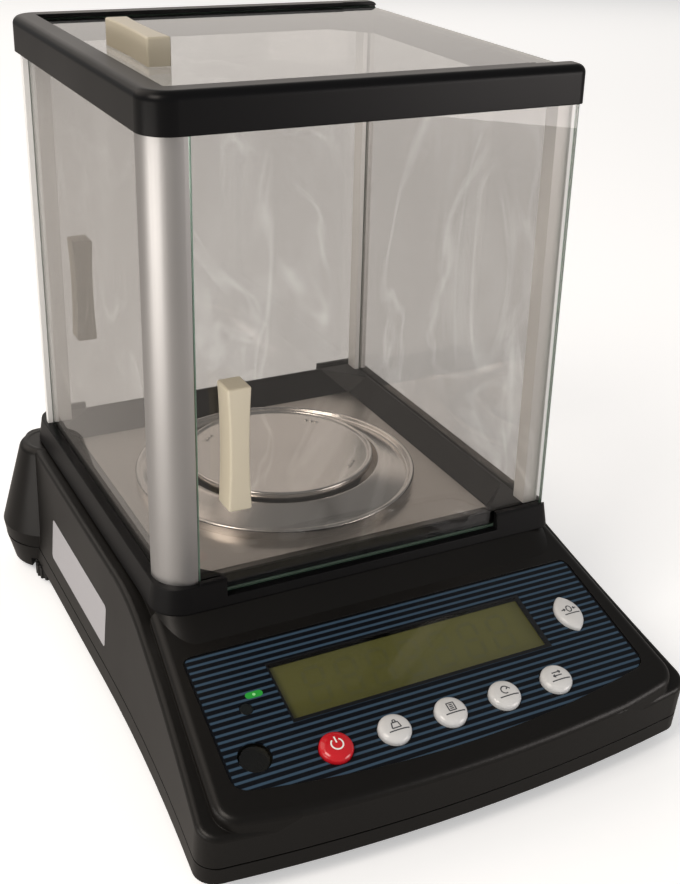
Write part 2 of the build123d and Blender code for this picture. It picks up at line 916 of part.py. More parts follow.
def status_lamp():
    """Small light guide that stands on the display board's edge bracket."""
    top = -panel_recess + panel_t
    low = under_console_h
    lamp = on_console(lamp_x, lamp_s, low - lamp_flange_t, low, Circle(lamp_r + lamp_flange))
    return lamp + on_console(lamp_x, lamp_s, low, top, Circle(lamp_r))


def level_cup():
    """Dark cup of the bubble level under the console."""
    outer = level_r + level_wall
    high = under_console_h - level_flange_t
    low = under_console_h - level_depth
    cup = on_console(level_x, level_s, high, under_console_h, Circle(outer + level_flange))
    cup += on_console(level_x, level_s, low, high, Circle(outer))
    return cup - on_console(level_x, level_s, low + level_floor, 0, Circle(level_r + level_gap))


def level_vial():
    """Round vial with a domed glass, in the cup."""
    low = under_console_h - level_depth + level_floor
    vial = on_console(level_x, level_s, low, -panel_recess - level_sink, Circle(level_r))
    crown = vial.faces().sort_by(console_up)[-1]
    return fillet(crown.edges(), level_edge_r)


# Draft shield


def frame_plan(grow, z):
    """Plan of a shield frame, rounded more on the left than on the right."""
    half_x = frame_half_w + grow
    half_y = frame_half_d + grow
    plan = Rectangle(2 * half_x, 2 * half_y)
    left = plan.vertices().sort_by(Axis.X)[:2]
    plan = fillet(left, frame_corner_r + grow)
    right = plan.vertices().sort_by(Axis.X)[-2:]
    plan = fillet(right, frame_right_corner_r + grow)
    return Pos(0, shield_y, z) * plan


def door_tracks(z0, z1):
    """Front and rear grooves for the door glass, open to the right."""
    x0 = -half_w + left_post - door_left_gap
    x1 = frame_half_w + frame_flare + beyond
    front = box(x0, x1, shield_y - groove_out, shield_y - groove_in, z0, z1)
    return front + mirror_shield(front)


def pane_reach(side):
    """Half length of a side pane, seated in the posts' slots."""
    if side < 0:
        return shield_d / 2 - left_post + pane_seat
    return -right_post_y - right_post_d + pane_seat


def pane_slots(z0, z1):
    """Slots for the two fixed side panes."""
    reach = pane_reach(-1) + post_slot - pane_seat
    right_reach = pane_reach(1) + post_slot - pane_seat
    gap = glass_gap / 2
    left = box(-pane_out - gap, -pane_in + gap, shield_y - reach, shield_y + reach, z0, z1)
    right = box(pane_in - gap, pane_out + gap, shield_y - right_reach, shield_y + right_reach, z0, z1)
    return left + right


def bevel_plan(half_x, half_y, corner, z):
    """Eight-sided plan of the bevel round the chamber floor."""
    plan = Rectangle(2 * half_x, 2 * half_y)
    return Pos(0, shield_y, z) * chamfer(plan.vertices(), corner)


def low_lip_cut():
    """Clearance over the low lips of both door tracks, between their tabs."""
    y0 = shield_y - frame_half_d - frame_flare - beyond
    y1 = shield_y - groove_out + glass_t / 2
    front = box(-tab_half, tab_half, y0, y1, track_z + door_lift, post_z + tab_rise + beyond)
    return front + mirror_shield(front)


def track_tabs():
    """Raised lips that hold the door glass near the posts."""
    y0 = shield_y - frame_half_d
    y1 = shield_y - groove_out
    z0 = post_z - overlap
    z1 = post_z + tab_rise
    left = box(-half_w + left_post, -tab_half, y0, y1, z0, z1)
    right = box(tab_half, frame_half_w - frame_right_corner_r, y0, y1, z0, z1)
    front = left + right
    return front + mirror_shield(front)


def lower_frame():
    """Lower frame with its door tracks, raised lips and inner bevel."""
    frame = loft([frame_plan(frame_flare, deck_z).face(), frame_plan(0, post_z).face()], ruled=True)
    frame += track_tabs()
    half_x = plate_w / 2 + plate_gap
    half_y = plate_d / 2 + plate_gap
    rim = bevel_plan(half_x, half_y, bevel_foot_corner, plate_z)
    top = bevel_plan(bevel_half, groove_in - bevel_margin, bevel_corner, post_z)
    frame -= loft([rim.face(), top.face()], ruled=True)
    frame -= box(-half_x, half_x, shield_y - half_y, shield_y + half_y, flange_z, plate_z)
    half_x -= plate_ledge
    half_y -= plate_ledge
    frame -= box(-half_x, half_x, shield_y - half_y, shield_y + half_y, deck_z - beyond, plate_z)
    frame -= door_tracks(track_z, post_z + tab_rise + beyond)
    frame -= low_lip_cut()
    frame -= pane_slots(post_z - pane_seat, post_z + beyond)
    for x, y in tie_places():
        frame -= rod(x, y, deck_z - beyond, post_z + beyond, tie_r + tie_gap)
    return frame


def top_frame():
    """Top frame: a ring over the posts with two long lips that hold the sliding top glass."""
    frame = extrude(frame_plan(0, top_z), amount=top_frame_h)
    rim = frame.faces().sort_by(Axis.Z)[-1]
    frame = fillet(rim.edges(), frame_edge_r)
    open_x = frame_half_w - left_rail - left_rail_step
    open_y = frame_half_d - rail_depth
    web_z = top_z + corner_web_h
    frame -= extrude(bevel_plan(open_x, open_y, corner_web, top_z), amount=corner_web_h)
    frame -= box(-open_x, open_x, shield_y - open_y, shield_y + open_y, web_z, channel_z)
    reach = frame_half_w + beyond
    over = crown_z + beyond
    lip_z = crown_z - top_lip_t
    channel_x = top_glass_left_x - glass_gap
    rail_x = -frame_half_w + left_rail
    frame -= box(channel_x, reach, shield_y - channel_half, shield_y + channel_half, channel_z, lip_z)
    frame -= box(rail_x, reach, shield_y - open_y, shield_y + open_y, channel_z, over)
    wide_y = open_y + top_lip_relief
    frame -= box(top_relief_x, reach, shield_y - wide_y, shield_y + wide_y, lip_z, over)
    frame -= door_tracks(top_z - beyond, top_z + door_head + door_head_room)
    frame -= pane_slots(top_z - beyond, top_z + pane_seat + pane_top_gap)
    for x, y in tie_places():
        frame -= rod(x, y, top_z - beyond, top_z + tie_depth + tie_end_gap, tie_r + thread_gap)
    return frame


def tie_places():
    """Axes of the four tie screws, inside the posts."""
    x_left = -half_w + left_tie_in
    y_left = -track_half + left_tie_in
    x_right = half_w - right_post_w / 2
    y_right = right_post_y + right_tie_in
    front = [(x_left, shield_y + y_left), (x_right, shield_y + y_right)]
    rear = [(x_left, shield_y - y_left), (x_right, shield_y - y_right)]
    return front + rear


def post_plan(outer_x, inner_x, y0, y1, corner_r):
    """Section of a front post: square towards the chamber, round towards the corner."""
    plan = Rectangle(abs(outer_x - inner_x), y1 - y0)
    plan = Pos((outer_x + inner_x) / 2, (y0 + y1) / 2) * plan
    corner = [v for v in plan.vertices() if abs(v.X - outer_x) < 0.01 and abs(v.Y - y0) < 0.01]
    return fillet(corner, corner_r)


def post(side):
    """Front post of one side: an extruded aluminium profile with a slot for the pane."""
    if side < 0:
        y0 = shield_y - shield_d / 2
        plan = post_plan(-half_w, -half_w + left_post, y0, y0 + left_post, left_post - post_flat)
    else:
        y0 = shield_y + right_post_y
        plan = post_plan(half_w, half_w - right_post_w, y0, y0 + right_post_d, right_post_r)
    profile = Pos(0, 0, post_z) * extrude(plan, amount=post_h)
    profile -= pane_slots(post_z - beyond, top_z + beyond)
    for x, y in tie_places():
        profile -= rod(x, y, post_z - beyond, top_z + beyond, tie_r + tie_gap)
    return profile


def tie_screws():
    """Four long screws that pull the shield on to the deck."""
    under = deck_z - wall
    screws = []
    for x, y in tie_places():
        screw = rod(x, y, under - tie_head_h, under, tie_head_r)
        screws.append(screw + rod(x, y, under - overlap, top_z + tie_depth, tie_r))
    return Compound(children=screws)


def pane(side):
    """Fixed side pane in its slots."""
    reach = pane_reach(side)
    x0, x1 = (-pane_out, -pane_in) if side < 0 else (pane_in, pane_out)
    return box(x0, x1, shield_y - reach, shield_y + reach, post_z - pane_seat, top_z + pane_seat)


def front_door():
    """Sliding front glass between its lower and upper tracks."""
    y0 = shield_y - track_half
    return box(door_x0, half_w, y0, y0 + glass_t, track_z + door_lift, top_z + door_head)


def top_door():
    """Sliding top glass under the long lips."""
    half = channel_half - glass_gap
    z0 = channel_z + glass_gap
    return box(top_glass_left_x, top_glass_right_x, shield_y - half, shield_y + half, z0, z0 + glass_t)


def handle_form():
    """Waisted block handle, glued side down, long axis along Y."""
    half_w_end = handle_w / 2
    half_len = handle_len / 2
    edges = [
        Line((-half_w_end, half_len), (half_w_end, half_len)),
        ThreePointArc((half_w_end, half_len), (half_w_end - handle_waist, 0), (half_w_end, -half_len)),
        Line((half_w_end, -half_len), (-half_w_end, -half_len)),
        ThreePointArc((-half_w_end, -half_len), (-half_w_end + handle_waist, 0), (-half_w_end, half_len)),
    ]
    block = extrude(make_face(edges), amount=handle_depth)
    glued = block.faces().sort_by(Axis.Z)[0].edges()
    return fillet([e for e in block.edges() if e not in glued], handle_edge_r)


def front_handle():
    """Handle on the outside of the front glass."""
    middle = (handle_x, shield_y - track_half, post_z + handle_mid_z)
    return Plane(middle, x_dir=(1, 0, 0), z_dir=(0, -1, 0)) * handle_form()


def top_handle():
    """Handle on the top glass."""
    return Pos(top_handle_x, top_handle_y, channel_z + glass_gap + glass_t) * handle_form()


# Chamber floor


def floor_plate():
    """Steel sheet that lies on the frame's flange, with a wide centre hole."""
    x = plate_w / 2
    y = plate_d / 2
    sheet = box(-x, x, shield_y - y, shield_y + y, flange_z, plate_z)
    return sheet - rod(0, shield_y, flange_z - beyond, plate_z + beyond, plate_hole_r)


def draft_ring():
    """Pressed steel ring: foot, sloping band, raised shoulder and rolled rim."""
    z = plate_z
    crown = z + ring_h
    shoulder = ring_r - ring_band_w
    band = crown - ring_band_drop
    lip = z + ring_t + ring_lip_h
    outline = [
        (ring_inner_r, z),
        (ring_inner_r + ring_foot_w, z),
        (shoulder - ring_t / 2, band - ring_t),
        (ring_r - ring_t, band - ring_t),
        (ring_r - ring_t, z),
        (ring_r, z),
        (ring_r, crown - ring_t),
        (ring_r - ring_t, crown),
        (ring_r - ring_roll + ring_t / 2, crown - ring_roll_drop),
        (ring_r - ring_roll, band),
        (shoulder, band),
        (ring_inner_r + ring_foot_w - ring_t / 2, z + ring_t),
        (ring_inner_r + ring_t, z + ring_t),
        (ring_inner_r + ring_t, lip),
        (ring_inner_r, lip),
    ]
    profile = Plane.XZ * make_face(Polyline(*outline, close=True))
    return Pos(0, shield_y, 0) * revolve(profile, Axis.Z)


def pan():
    """Weighing pan: flat sheet with a rolled rim and a hub that drops over the spindle."""
    top = pan_under_z + pan_t
    crown = top + pan_rim_h
    hem = pan_under_z - pan_rim_drop
    outline = [
        (0, pan_under_z),
        (pan_r - pan_rim_t - pan_rim_slope, pan_under_z),
        (pan_r - pan_rim_t, hem),
        (pan_r, hem),
        (pan_r, crown - pan_rim_r),
        (pan_r - pan_rim_r, crown),
        (pan_r - pan_rim_r - pan_rim_h, crown - pan_rim_fall),
        (pan_r - pan_rim_w, top),
        (0, top),
    ]
    profile = Plane.XZ * make_face(Polyline(*outline, close=True))
    dish = Pos(0, shield_y, 0) * revolve(profile, Axis.Z)
    hub_z = pan_under_z - pan_hub_h
    dish += rod(0, shield_y, hub_z, pan_under_z + pan_t / 2, pan_hub_r)
    return dish - rod(0, shield_y, hub_z - beyond, pan_under_z - pan_hub_web, spindle_r + spindle_gap)


# Weighing cell

cell_top = cell_z + cell_h
arm_z = cell_top + spacer_t
cell_y0 = shield_y - cell_len / 2
cell_y1 = shield_y + cell_len / 2


def chassis():
    """Stiff plate on four pillars with the seat of the weighing cell."""
    half_x = chassis_w / 2
    half_y = chassis_d / 2
    plate = box(-half_x, half_x, shield_y - half_y, shield_y + half_y, chassis_z, chassis_z + chassis_t)
    plate = fillet(plate.edges().filter_by(Axis.Z), chassis_corner_r)
    for side in (1, -1):
        slot = SlotOverall(chassis_slot_len, chassis_slot_w, rotation=90)
        plate -= extrude(Pos(side * chassis_slot_x, shield_y, chassis_z) * slot, amount=chassis_t)
    seat = box(-cell_w / 2, cell_w / 2, cell_y1 - cell_end, cell_y1, chassis_z + chassis_t, cell_z)
    return plate + seat


def load_cell():
    """Weighing bar with two joined round windows, clamped at the rear."""
    bar = box(-cell_w / 2, cell_w / 2, cell_y0, cell_y1, cell_z, cell_top)
    mid = (cell_z + cell_top) / 2
    half_pitch = cell_window_pitch / 2
    for side in (1, -1):
        window = Rot(0, 90, 0) * Cylinder(cell_window_r, cell_w + 2 * beyond)
        bar -= Pos(0, shield_y + side * half_pitch, mid) * window
    return bar - box(
        -cell_w,
        cell_w,
        shield_y - half_pitch,
        shield_y + half_pitch,
        mid - cell_slit_half,
        mid + cell_slit_half,
    )


def carrier_arm():
    """Arm from the free end of the bar back to the middle, under the deck."""
    half = arm_w / 2
    arm = box(-half, half, cell_y0, shield_y + half, arm_z, arm_z + arm_t)
    arm = fillet(arm.edges().filter_by(Axis.Z), arm_corner_r)
    return arm + box(-half, half, cell_y0 + spacer_inset, cell_y0 + cell_end, cell_top, arm_z)


def spindle():
    """Spindle from the carrier arm up into the pan's hub."""
    shoulder = pan_under_z - pan_hub_h
    collar = rod(0, shield_y, arm_z + arm_t, shoulder, spindle_r + spindle_collar)
    end = pan_under_z - pan_hub_web - spindle_end_gap
    return collar + rod(0, shield_y, shoulder, end, spindle_r)


# Feet


def front_foot(side):
    """Fixed rubber foot under a front corner."""
    foot = rod(side * front_foot_x, front_foot_y, 0, foot_gap, front_foot_r)
    return chamfer(foot.edges().sort_by(Axis.Z)[0], front_foot_edge)


def foot_pad(side):
    """Rubber pad under a levelling screw."""
    x = side * foot_x
    pad = rod(x, foot_y, 0, pad_h, pad_r)
    pad = chamfer(pad.edges().sort_by(Axis.Z)[0], pad_edge)
    return pad - rod(x, foot_y, pad_h - pad_bore, pad_h + beyond, screw_tip_r + screw_gap)


def foot_wheel(side):
    """Knurled levelling wheel with its screw."""
    x = side * foot_x
    z0 = pad_h + wheel_gap
    wheel = rod(x, foot_y, z0, z0 + wheel_h, wheel_r)
    for flute in range(wheel_flutes):
        turn = math.radians(360 / wheel_flutes * flute)
        at_x = x + wheel_r * math.cos(turn)
        at_y = foot_y + wheel_r * math.sin(turn)
        wheel -= rod(at_x, at_y, z0 - beyond, z0 + wheel_h + beyond, flute_r)
    wheel += rod(x, foot_y, pad_h - pad_bore + screw_tip_gap, z0 + overlap, screw_tip_r)
    return wheel + rod(x, foot_y, z0, screw_top_z, screw_r)


# Boards, sockets and screws


def board_post_places():
    """Columns of the display board's posts: x and the places down the slope."""
    rows = (display_board_s0 + board_post_inset, display_board_s1 - board_post_inset)
    return [(display_board_x0 + board_post_inset, rows), (display_board_x1 - board_post_inset, rows)]


def on_board(dx, dy, w, d, h):
    """Component on the main board, placed from the board's middle."""
    x = main_board_x + dx
    y = main_board_y + dy
    z = main_board_z + main_board_t
    return box(x - w / 2, x + w / 2, y - d / 2, y + d / 2, z, z + h)


def main_board():
    """Main circuit board with its larger components."""
    half_x = main_board_w / 2
    half_y = main_board_d / 2
    top = main_board_z + main_board_t
    board = box(
        main_board_x - half_x,
        main_board_x + half_x,
        main_board_y - half_y,
        main_board_y + half_y,
        main_board_z,
        top,
    )
    board += on_board(processor_dx, processor_dy, processor_w, processor_w, processor_h)
    board += on_board(converter_dx, converter_dy, converter_w, converter_d, converter_h)
    board += on_board(memory_dx, memory_dy, memory_w, memory_w, memory_h)
    board += on_board(header_dx, 0, header_w, header_d, header_h)
    for dx in (capacitor_dx, capacitor_dx + capacitor_pitch):
        x = main_board_x + dx
        board += rod(x, main_board_y + capacitor_dy, top, top + capacitor_h, capacitor_r)
    for x, y in board_pillars():
        board -= rod(x, y, main_board_z - beyond, top + beyond, board_screw_r + board_hole_gap)
    return board


def dc_inlet():
    """Round power inlet with its centre pin."""
    body = box(
        inlet_x - inlet_w / 2,
        inlet_x + inlet_w / 2,
        back_y - inlet_depth,
        back_y,
        inlet_z - inlet_h / 2,
        inlet_z + inlet_h / 2,
    )
    mouth = Plane((inlet_x, back_y, inlet_z), x_dir=(1, 0, 0), z_dir=(0, -1, 0))
    body -= extrude(mouth * Circle(inlet_r), amount=inlet_bore_depth)
    tip = mouth.offset(inlet_pin_sink)
    return body + extrude(tip * Circle(inlet_pin_r), amount=inlet_bore_depth)


def data_port():
    """Data port: flange, raised shell and contact block."""
    x = port_w / 2
    z = port_h / 2
    body = box(port_x - x, port_x + x, back_y - port_depth, back_y, port_z - z, port_z + z)
    seat = Plane((port_x, back_y, port_z), x_dir=(-1, 0, 0), z_dir=(0, 1, 0))
    shell = make_face(
        Polyline(
            (-port_shell_top, port_shell_half_h),
            (port_shell_top, port_shell_half_h),
            (port_shell_low, -port_shell_half_h),
            (-port_shell_low, -port_shell_half_h),
            close=True,
        )
    )
    shell = fillet(shell.vertices(), port_shell_r)
    body += extrude(seat * shell, amount=port_shell_out)
    return body - extrude(seat * offset(shell, amount=-port_shell_t), amount=port_shell_out + beyond)


def case_screws():
    """Six screws that hold the two shells together."""
    screws = []
    for x, y in both_sides(case_points):
        z0 = foot_gap + case_head_sink
        screw = rod(x, y, z0, z0 + case_head_h, case_head_r)
        screws.append(screw + rod(x, y, z0, parting_z + case_screw_grip, case_screw_r))
    return Compound(children=screws)


def board_screws():
    """Screws of the main board and the display board."""
    screws = []
    top = main_board_z + main_board_t
    for x, y in board_pillars():
        screw = rod(x, y, top, top + board_screw_head_h, board_screw_head_r)
        screws.append(screw + rod(x, y, top - board_screw_len, top, board_screw_r))
    low = board_h - board_t
    end = board_h + board_screw_len - screw_end_room
    for x, places in board_post_places():
        for s in places:
            screw = on_console(x, s, low - board_screw_head_h, low, Circle(board_screw_head_r))
            screw += on_console(x, s, low, end, Circle(board_screw_r))
            screws.append(screw)
    return Compound(children=screws)


# Write every sub-part

save("upper_housing", upper_housing())
save("lower_housing", lower_housing())
save("battery_cover", battery_cover())
save("battery_pack", battery_pack())
save("console_panel", console_panel())
save("display_window", display_window())
save("display_module", display_module())
save("display_board", display_board())
for key_name, key_x in key_places():
    save(key_name, round_key(key_x))
save("key_tare", tare_key())
save("status_lamp", status_lamp())
save("level_cup", level_cup())
save("level_vial", level_vial())
save("lower_frame", lower_frame())
save("top_frame", top_frame())
for side_name, side in (("left", -1), ("right", 1)):
    save(f"post_front_{side_name}", post(side))
    save(f"post_rear_{side_name}", mirror_shield(post(side)))
    save(f"pane_{side_name}", pane(side))
    save(f"front_foot_{side_name}", front_foot(side))
    save(f"foot_pad_{side_name}", foot_pad(side))
    save(f"foot_wheel_{side_name}", foot_wheel(side))
save("tie_screws", tie_screws())
save("front_door", front_door())
save("rear_door", mirror_shield(front_door()))
save("top_door", top_door())
save("front_handle", front_handle())
save("rear_handle", mirror_shield(front_handle()))
save("top_handle", top_handle())
save("floor_plate", floor_plate())
save("draft_ring", draft_ring())
save("pan", pan())
save("chassis", chassis())
save("load_cell", load_cell())
save("carrier_arm", carrier_arm())
save("spindle", spindle())
save("main_board", main_board())
save("dc_inlet", dc_inlet())
save("data_port", data_port())
save("case_screws", case_screws())
save("board_screws", board_screws())
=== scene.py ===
import math

import bmesh
import bpy
from mathutils import Matrix, Vector


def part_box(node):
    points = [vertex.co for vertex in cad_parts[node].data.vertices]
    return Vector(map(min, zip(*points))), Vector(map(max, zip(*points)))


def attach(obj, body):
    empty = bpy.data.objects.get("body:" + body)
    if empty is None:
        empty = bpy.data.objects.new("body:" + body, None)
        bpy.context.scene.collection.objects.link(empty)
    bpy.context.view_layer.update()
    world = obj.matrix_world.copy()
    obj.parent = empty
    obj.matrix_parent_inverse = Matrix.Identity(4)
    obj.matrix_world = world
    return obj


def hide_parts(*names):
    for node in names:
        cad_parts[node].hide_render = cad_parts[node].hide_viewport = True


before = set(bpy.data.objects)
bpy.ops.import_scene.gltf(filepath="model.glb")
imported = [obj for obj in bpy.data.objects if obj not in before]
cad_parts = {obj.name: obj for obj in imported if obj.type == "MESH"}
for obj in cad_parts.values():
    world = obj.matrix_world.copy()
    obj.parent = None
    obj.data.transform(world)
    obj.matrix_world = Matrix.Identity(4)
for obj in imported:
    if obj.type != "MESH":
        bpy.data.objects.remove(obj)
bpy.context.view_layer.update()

# View. The balance is photographed from its left front corner, a little from above, with a
# long lens. Blender works in metres, and sizes below are millimetres times MM.
MM = 0.001
PHOTO_W, PHOTO_H = 680, 884
EYE = Vector((-232.9, -482.28, 366.4)) * MM
TURN = math.radians(28.51)  # clockwise from straight ahead, seen from above
DOWN = math.radians(23.78)
ROLL = math.radians(2.10)
FOCAL_PX = 1328.78
AXIS_PX = (372.77, 386.59)  # where the lens axis meets the photograph
FILM = 36.0  # width of the camera's film
lens = bpy.data.cameras.new("photo_view")
lens.sensor_width = FILM
lens.lens = FOCAL_PX / PHOTO_H * FILM
lens.shift_x = (PHOTO_W / 2 - AXIS_PX[0]) / PHOTO_H
lens.shift_y = (AXIS_PX[1] - PHOTO_H / 2) / PHOTO_H
camera = bpy.data.objects.new("photo_view", lens)
aim = Matrix.Rotation(-TURN, 4, "Z") @ Matrix.Rotation(math.pi / 2 - DOWN, 4, "X")
aim = aim @ Matrix.Rotation(ROLL, 4, "Z")
camera.matrix_world = Matrix.Translation(EYE) @ aim
bpy.context.scene.collection.objects.link(camera)
bpy.context.scene.camera = camera
bpy.context.scene.view_settings.view_transform = "Standard"

# Studio floor. A lit table of matt white film, far wider than the view, with the faint
# cloudiness of the film's fibres. Reflections show it dim, as the real backdrop was before
# it was cut out to white. It belongs to the stage and not to the balance.


def linear(code):
    """sRGB hex colour as the linear values that a shader takes."""
    parts = [int(code[i : i + 2], 16) / 255 for i in (1, 3, 5)]
    return [p / 12.92 if p <= 0.04045 else ((p + 0.055) / 1.055) ** 2.4 for p in parts] + [1.0]


def add(tree, kind, inputs=None, **settings):
    """One node with its settings. Each input is a value, a hex colour, a socket, or a node
    whose first output it takes."""
    made = tree.nodes.new(kind)
    for name, value in settings.items():
        setattr(made, name, value)
    for socket, value in (inputs or {}).items():
        if isinstance(value, bpy.types.Node):
            value = value.outputs[0]
        if isinstance(value, bpy.types.NodeSocket):
            tree.links.new(value, made.inputs[socket])
        else:
            made.inputs[socket].default_value = linear(value) if isinstance(value, str) else value
    return made


def new_finish(name):
    """Material, its empty node tree, and the place of each point in metres."""
    finish = bpy.data.materials.new(name)
    finish.use_nodes = True
    tree = finish.node_tree
    tree.nodes.clear()
    return finish, tree, add(tree, "ShaderNodeTexCoord").outputs["Object"]


def mesh_object(name, points, faces, place=None):
    """Object from points in millimetres, moved by a placing matrix."""
    place = place or Matrix.Identity(4)
    mesh = bpy.data.meshes.new(name)
    mesh.from_pydata([(place @ Vector(p)) * MM for p in points], [], faces)
    mesh.validate()
    made = bpy.data.objects.new(name, mesh)
    bpy.context.scene.collection.objects.link(made)
    return made


FLOOR_HALF = 15000.0
FIBRE = 9.0  # size of the film's clouds
SHARE, LOW, HIGH, MIXED = 0, 6, 7, 2  # sockets of a colour mix: share, two colours, result
corners = [(x * FLOOR_HALF, y * FLOOR_HALF, 0) for x, y in ((-1, -1), (1, -1), (1, 1), (-1, 1))]
floor = mesh_object("studio_floor", corners, [(0, 1, 2, 3)])
white_film, tree, where = new_finish("lit_white_film")
clouds = add(tree, "ShaderNodeTexNoise", {"Vector": where, "Scale": 1 / (FIBRE * MM), "Detail": 3.0})
ray = add(tree, "ShaderNodeLightPath").outputs
mirrored = add(tree, "ShaderNodeMath", {
    0: ray["Is Glossy Ray"], 1: ray["Is Transmission Ray"]}, operation="SUBTRACT", use_clamp=True)
cloudy = add(tree, "ShaderNodeMix", {SHARE: clouds, LOW: "#eff1f3", HIGH: "#f2f4f6"}, data_type="RGBA")
colour = add(tree, "ShaderNodeMix", {
    SHARE: mirrored, LOW: cloudy.outputs[MIXED], HIGH: "#b2b0ae"}, data_type="RGBA")
glow = add(tree, "ShaderNodeMix", {SHARE: mirrored, LOW: "#ffffff", HIGH: "#6b6967"}, data_type="RGBA")
table = add(tree, "ShaderNodeBsdfPrincipled", {
    "Base Color": colour.outputs[MIXED], "Roughness": 0.9, "Specular IOR Level": 0.2,
    "Emission Color": glow.outputs[MIXED], "Emission Strength": 0.4})
add(tree, "ShaderNodeOutputMaterial", {"Surface": table})
floor.data.materials.append(white_film)

# Studio light. A big warm soft box high over the left front, a low one beside the balance
# that draws the edges out, a wide one behind at the left, a low one at the right front, and a
# wide pale wall of light behind. Places and sizes are in metres, and power in watts.


def soft_box(name, place, target, wide, high, watts, tint):
    """Rectangular area light that faces a point, and isn't seen itself."""
    lamp = bpy.data.lights.new(name, "AREA")
    lamp.shape = "RECTANGLE"
    lamp.size, lamp.size_y = wide, high
    lamp.energy = watts
    lamp.color = linear(tint)[:3]
    made = bpy.data.objects.new(name, lamp)
    made.location = place
    made.rotation_euler = (Vector(target) - Vector(place)).to_track_quat("-Z", "Y").to_euler()
    made.visible_camera = made.visible_transmission = False
    bpy.context.scene.collection.objects.link(made)


soft_box("key_box", (-1.4, -0.6, 1.6), (0, 0, 0.12), wide=1.0, high=1.0, watts=23, tint="#fff5ea")
soft_box("side_box", (-0.62, -0.14, 0.07), (0, 0, 0.1), wide=0.5, high=0.13, watts=0.85, tint="#fff9f2")
soft_box("rim_box", (-0.9, 1.1, 1.5), (0, 0, 0.1), wide=1.8, high=1.8, watts=13, tint="#fff1e4")
soft_box("right_box", (0.8, -0.92, 0.2), (0, 0, 0.12), wide=0.6, high=0.45, watts=4.8, tint="#fff7f3")
soft_box("back_box", (0.9, 1.9, 0.9), (0, 0, 0.15), wide=2.4, high=1.1, watts=5.5, tint="#fff4ea")
room = bpy.data.worlds.new("dim_room")
room.use_nodes = True
air = room.node_tree.nodes["Background"].inputs
air["Color"].default_value = linear("#f2f1ef")
air["Strength"].default_value = 0.3
bpy.context.scene.world = room

# Housing shells. Upper and lower shell and battery cover in black ABS, injection moulded in
# a spark-eroded tool and screwed together from below. The eroded tool leaves a fine even
# grain that breaks every highlight up.
EDGE_SOFT = 0.45  # radius that moulding leaves on a sharp edge
GRAIN = 0.9  # pitch of the grain, drawn coarser than the real 0.2 mm so that it shows
GRAIN_DEEP = 0.018
MOTTLE = 60.0  # size of the slight clouds that flow leaves in a moulded skin
MOTTLE_DULL = 0.05  # by which they change its roughness either way


def moulded(name, dark, light, rough, shine, grain, deep, edge=EDGE_SOFT):
    """Opaque moulded plastic with a grain, slight mottling and softened edges."""
    finish, tree, where = new_finish(name)
    fine = add(tree, "ShaderNodeTexNoise", {"Vector": where, "Scale": 1 / (grain * MM), "Detail": 2.0})
    broad = add(tree, "ShaderNodeTexNoise", {"Vector": where, "Scale": 1 / (MOTTLE * MM), "Detail": 4.0})
    soft = add(tree, "ShaderNodeBevel", {"Radius": edge * MM}, samples=4)
    bump = add(tree, "ShaderNodeBump", {
        "Height": fine, "Distance": deep * MM, "Strength": 1.0, "Normal": soft})
    dull = add(tree, "ShaderNodeMapRange", {
        "Value": broad, "To Min": rough - MOTTLE_DULL, "To Max": rough + MOTTLE_DULL})
    colour = add(tree, "ShaderNodeMix", {SHARE: broad, LOW: dark, HIGH: light}, data_type="RGBA")
    plastic = add(tree, "ShaderNodeBsdfPrincipled", {
        "Base Color": colour.outputs[MIXED], "Roughness": dull, "IOR": 1.54,
        "Specular IOR Level": shine, "Normal": bump})
    add(tree, "ShaderNodeOutputMaterial", {"Surface": plastic})
    return finish


def dress(finish, *names):
    """Give CAD nodes one finish."""
    for name in names:
        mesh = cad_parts[name].data
        mesh.materials.clear()
        mesh.materials.append(finish)


housing_abs = moulded("eroded_black_abs", "#0c0b0a", "#110f0d",
                      rough=0.36, shine=0.23, grain=GRAIN, deep=GRAIN_DEEP)
dress(housing_abs, "lower_housing", "upper_housing", "battery_cover")

# Feet. Two rubber feet in front, and behind them two levelling screws on rubber pads with
# knurled nylon wheels. Rubber is dead matt and picks up a little dust, and nylon has a dull
# gleam.
rubber = moulded("black_rubber", "#141414", "#262524",
                 rough=0.82, shine=0.25, grain=0.7, deep=0.05, edge=0.3)
wheel_nylon = moulded("black_nylon", "#111111", "#191919",
                      rough=0.38, shine=0.5, grain=1.2, deep=0.01, edge=0.25)
for side in ("left", "right"):
    dress(rubber, f"front_foot_{side}", f"foot_pad_{side}")
    dress(wheel_nylon, f"foot_wheel_{side}")

# Weighing cell. A chassis plate cast in aluminium, a milled aluminium bar with its joined
# windows, the carrier arm and the turned spindle under the pan. Sand casting leaves a coarse
# matt skin, milling long lines, and turning fine rings.
METAL_CLOUD = 45.0  # size of the slight changes of tone in a metal's skin
STREAK_DULL = 0.06  # by which its streaks change its roughness either way


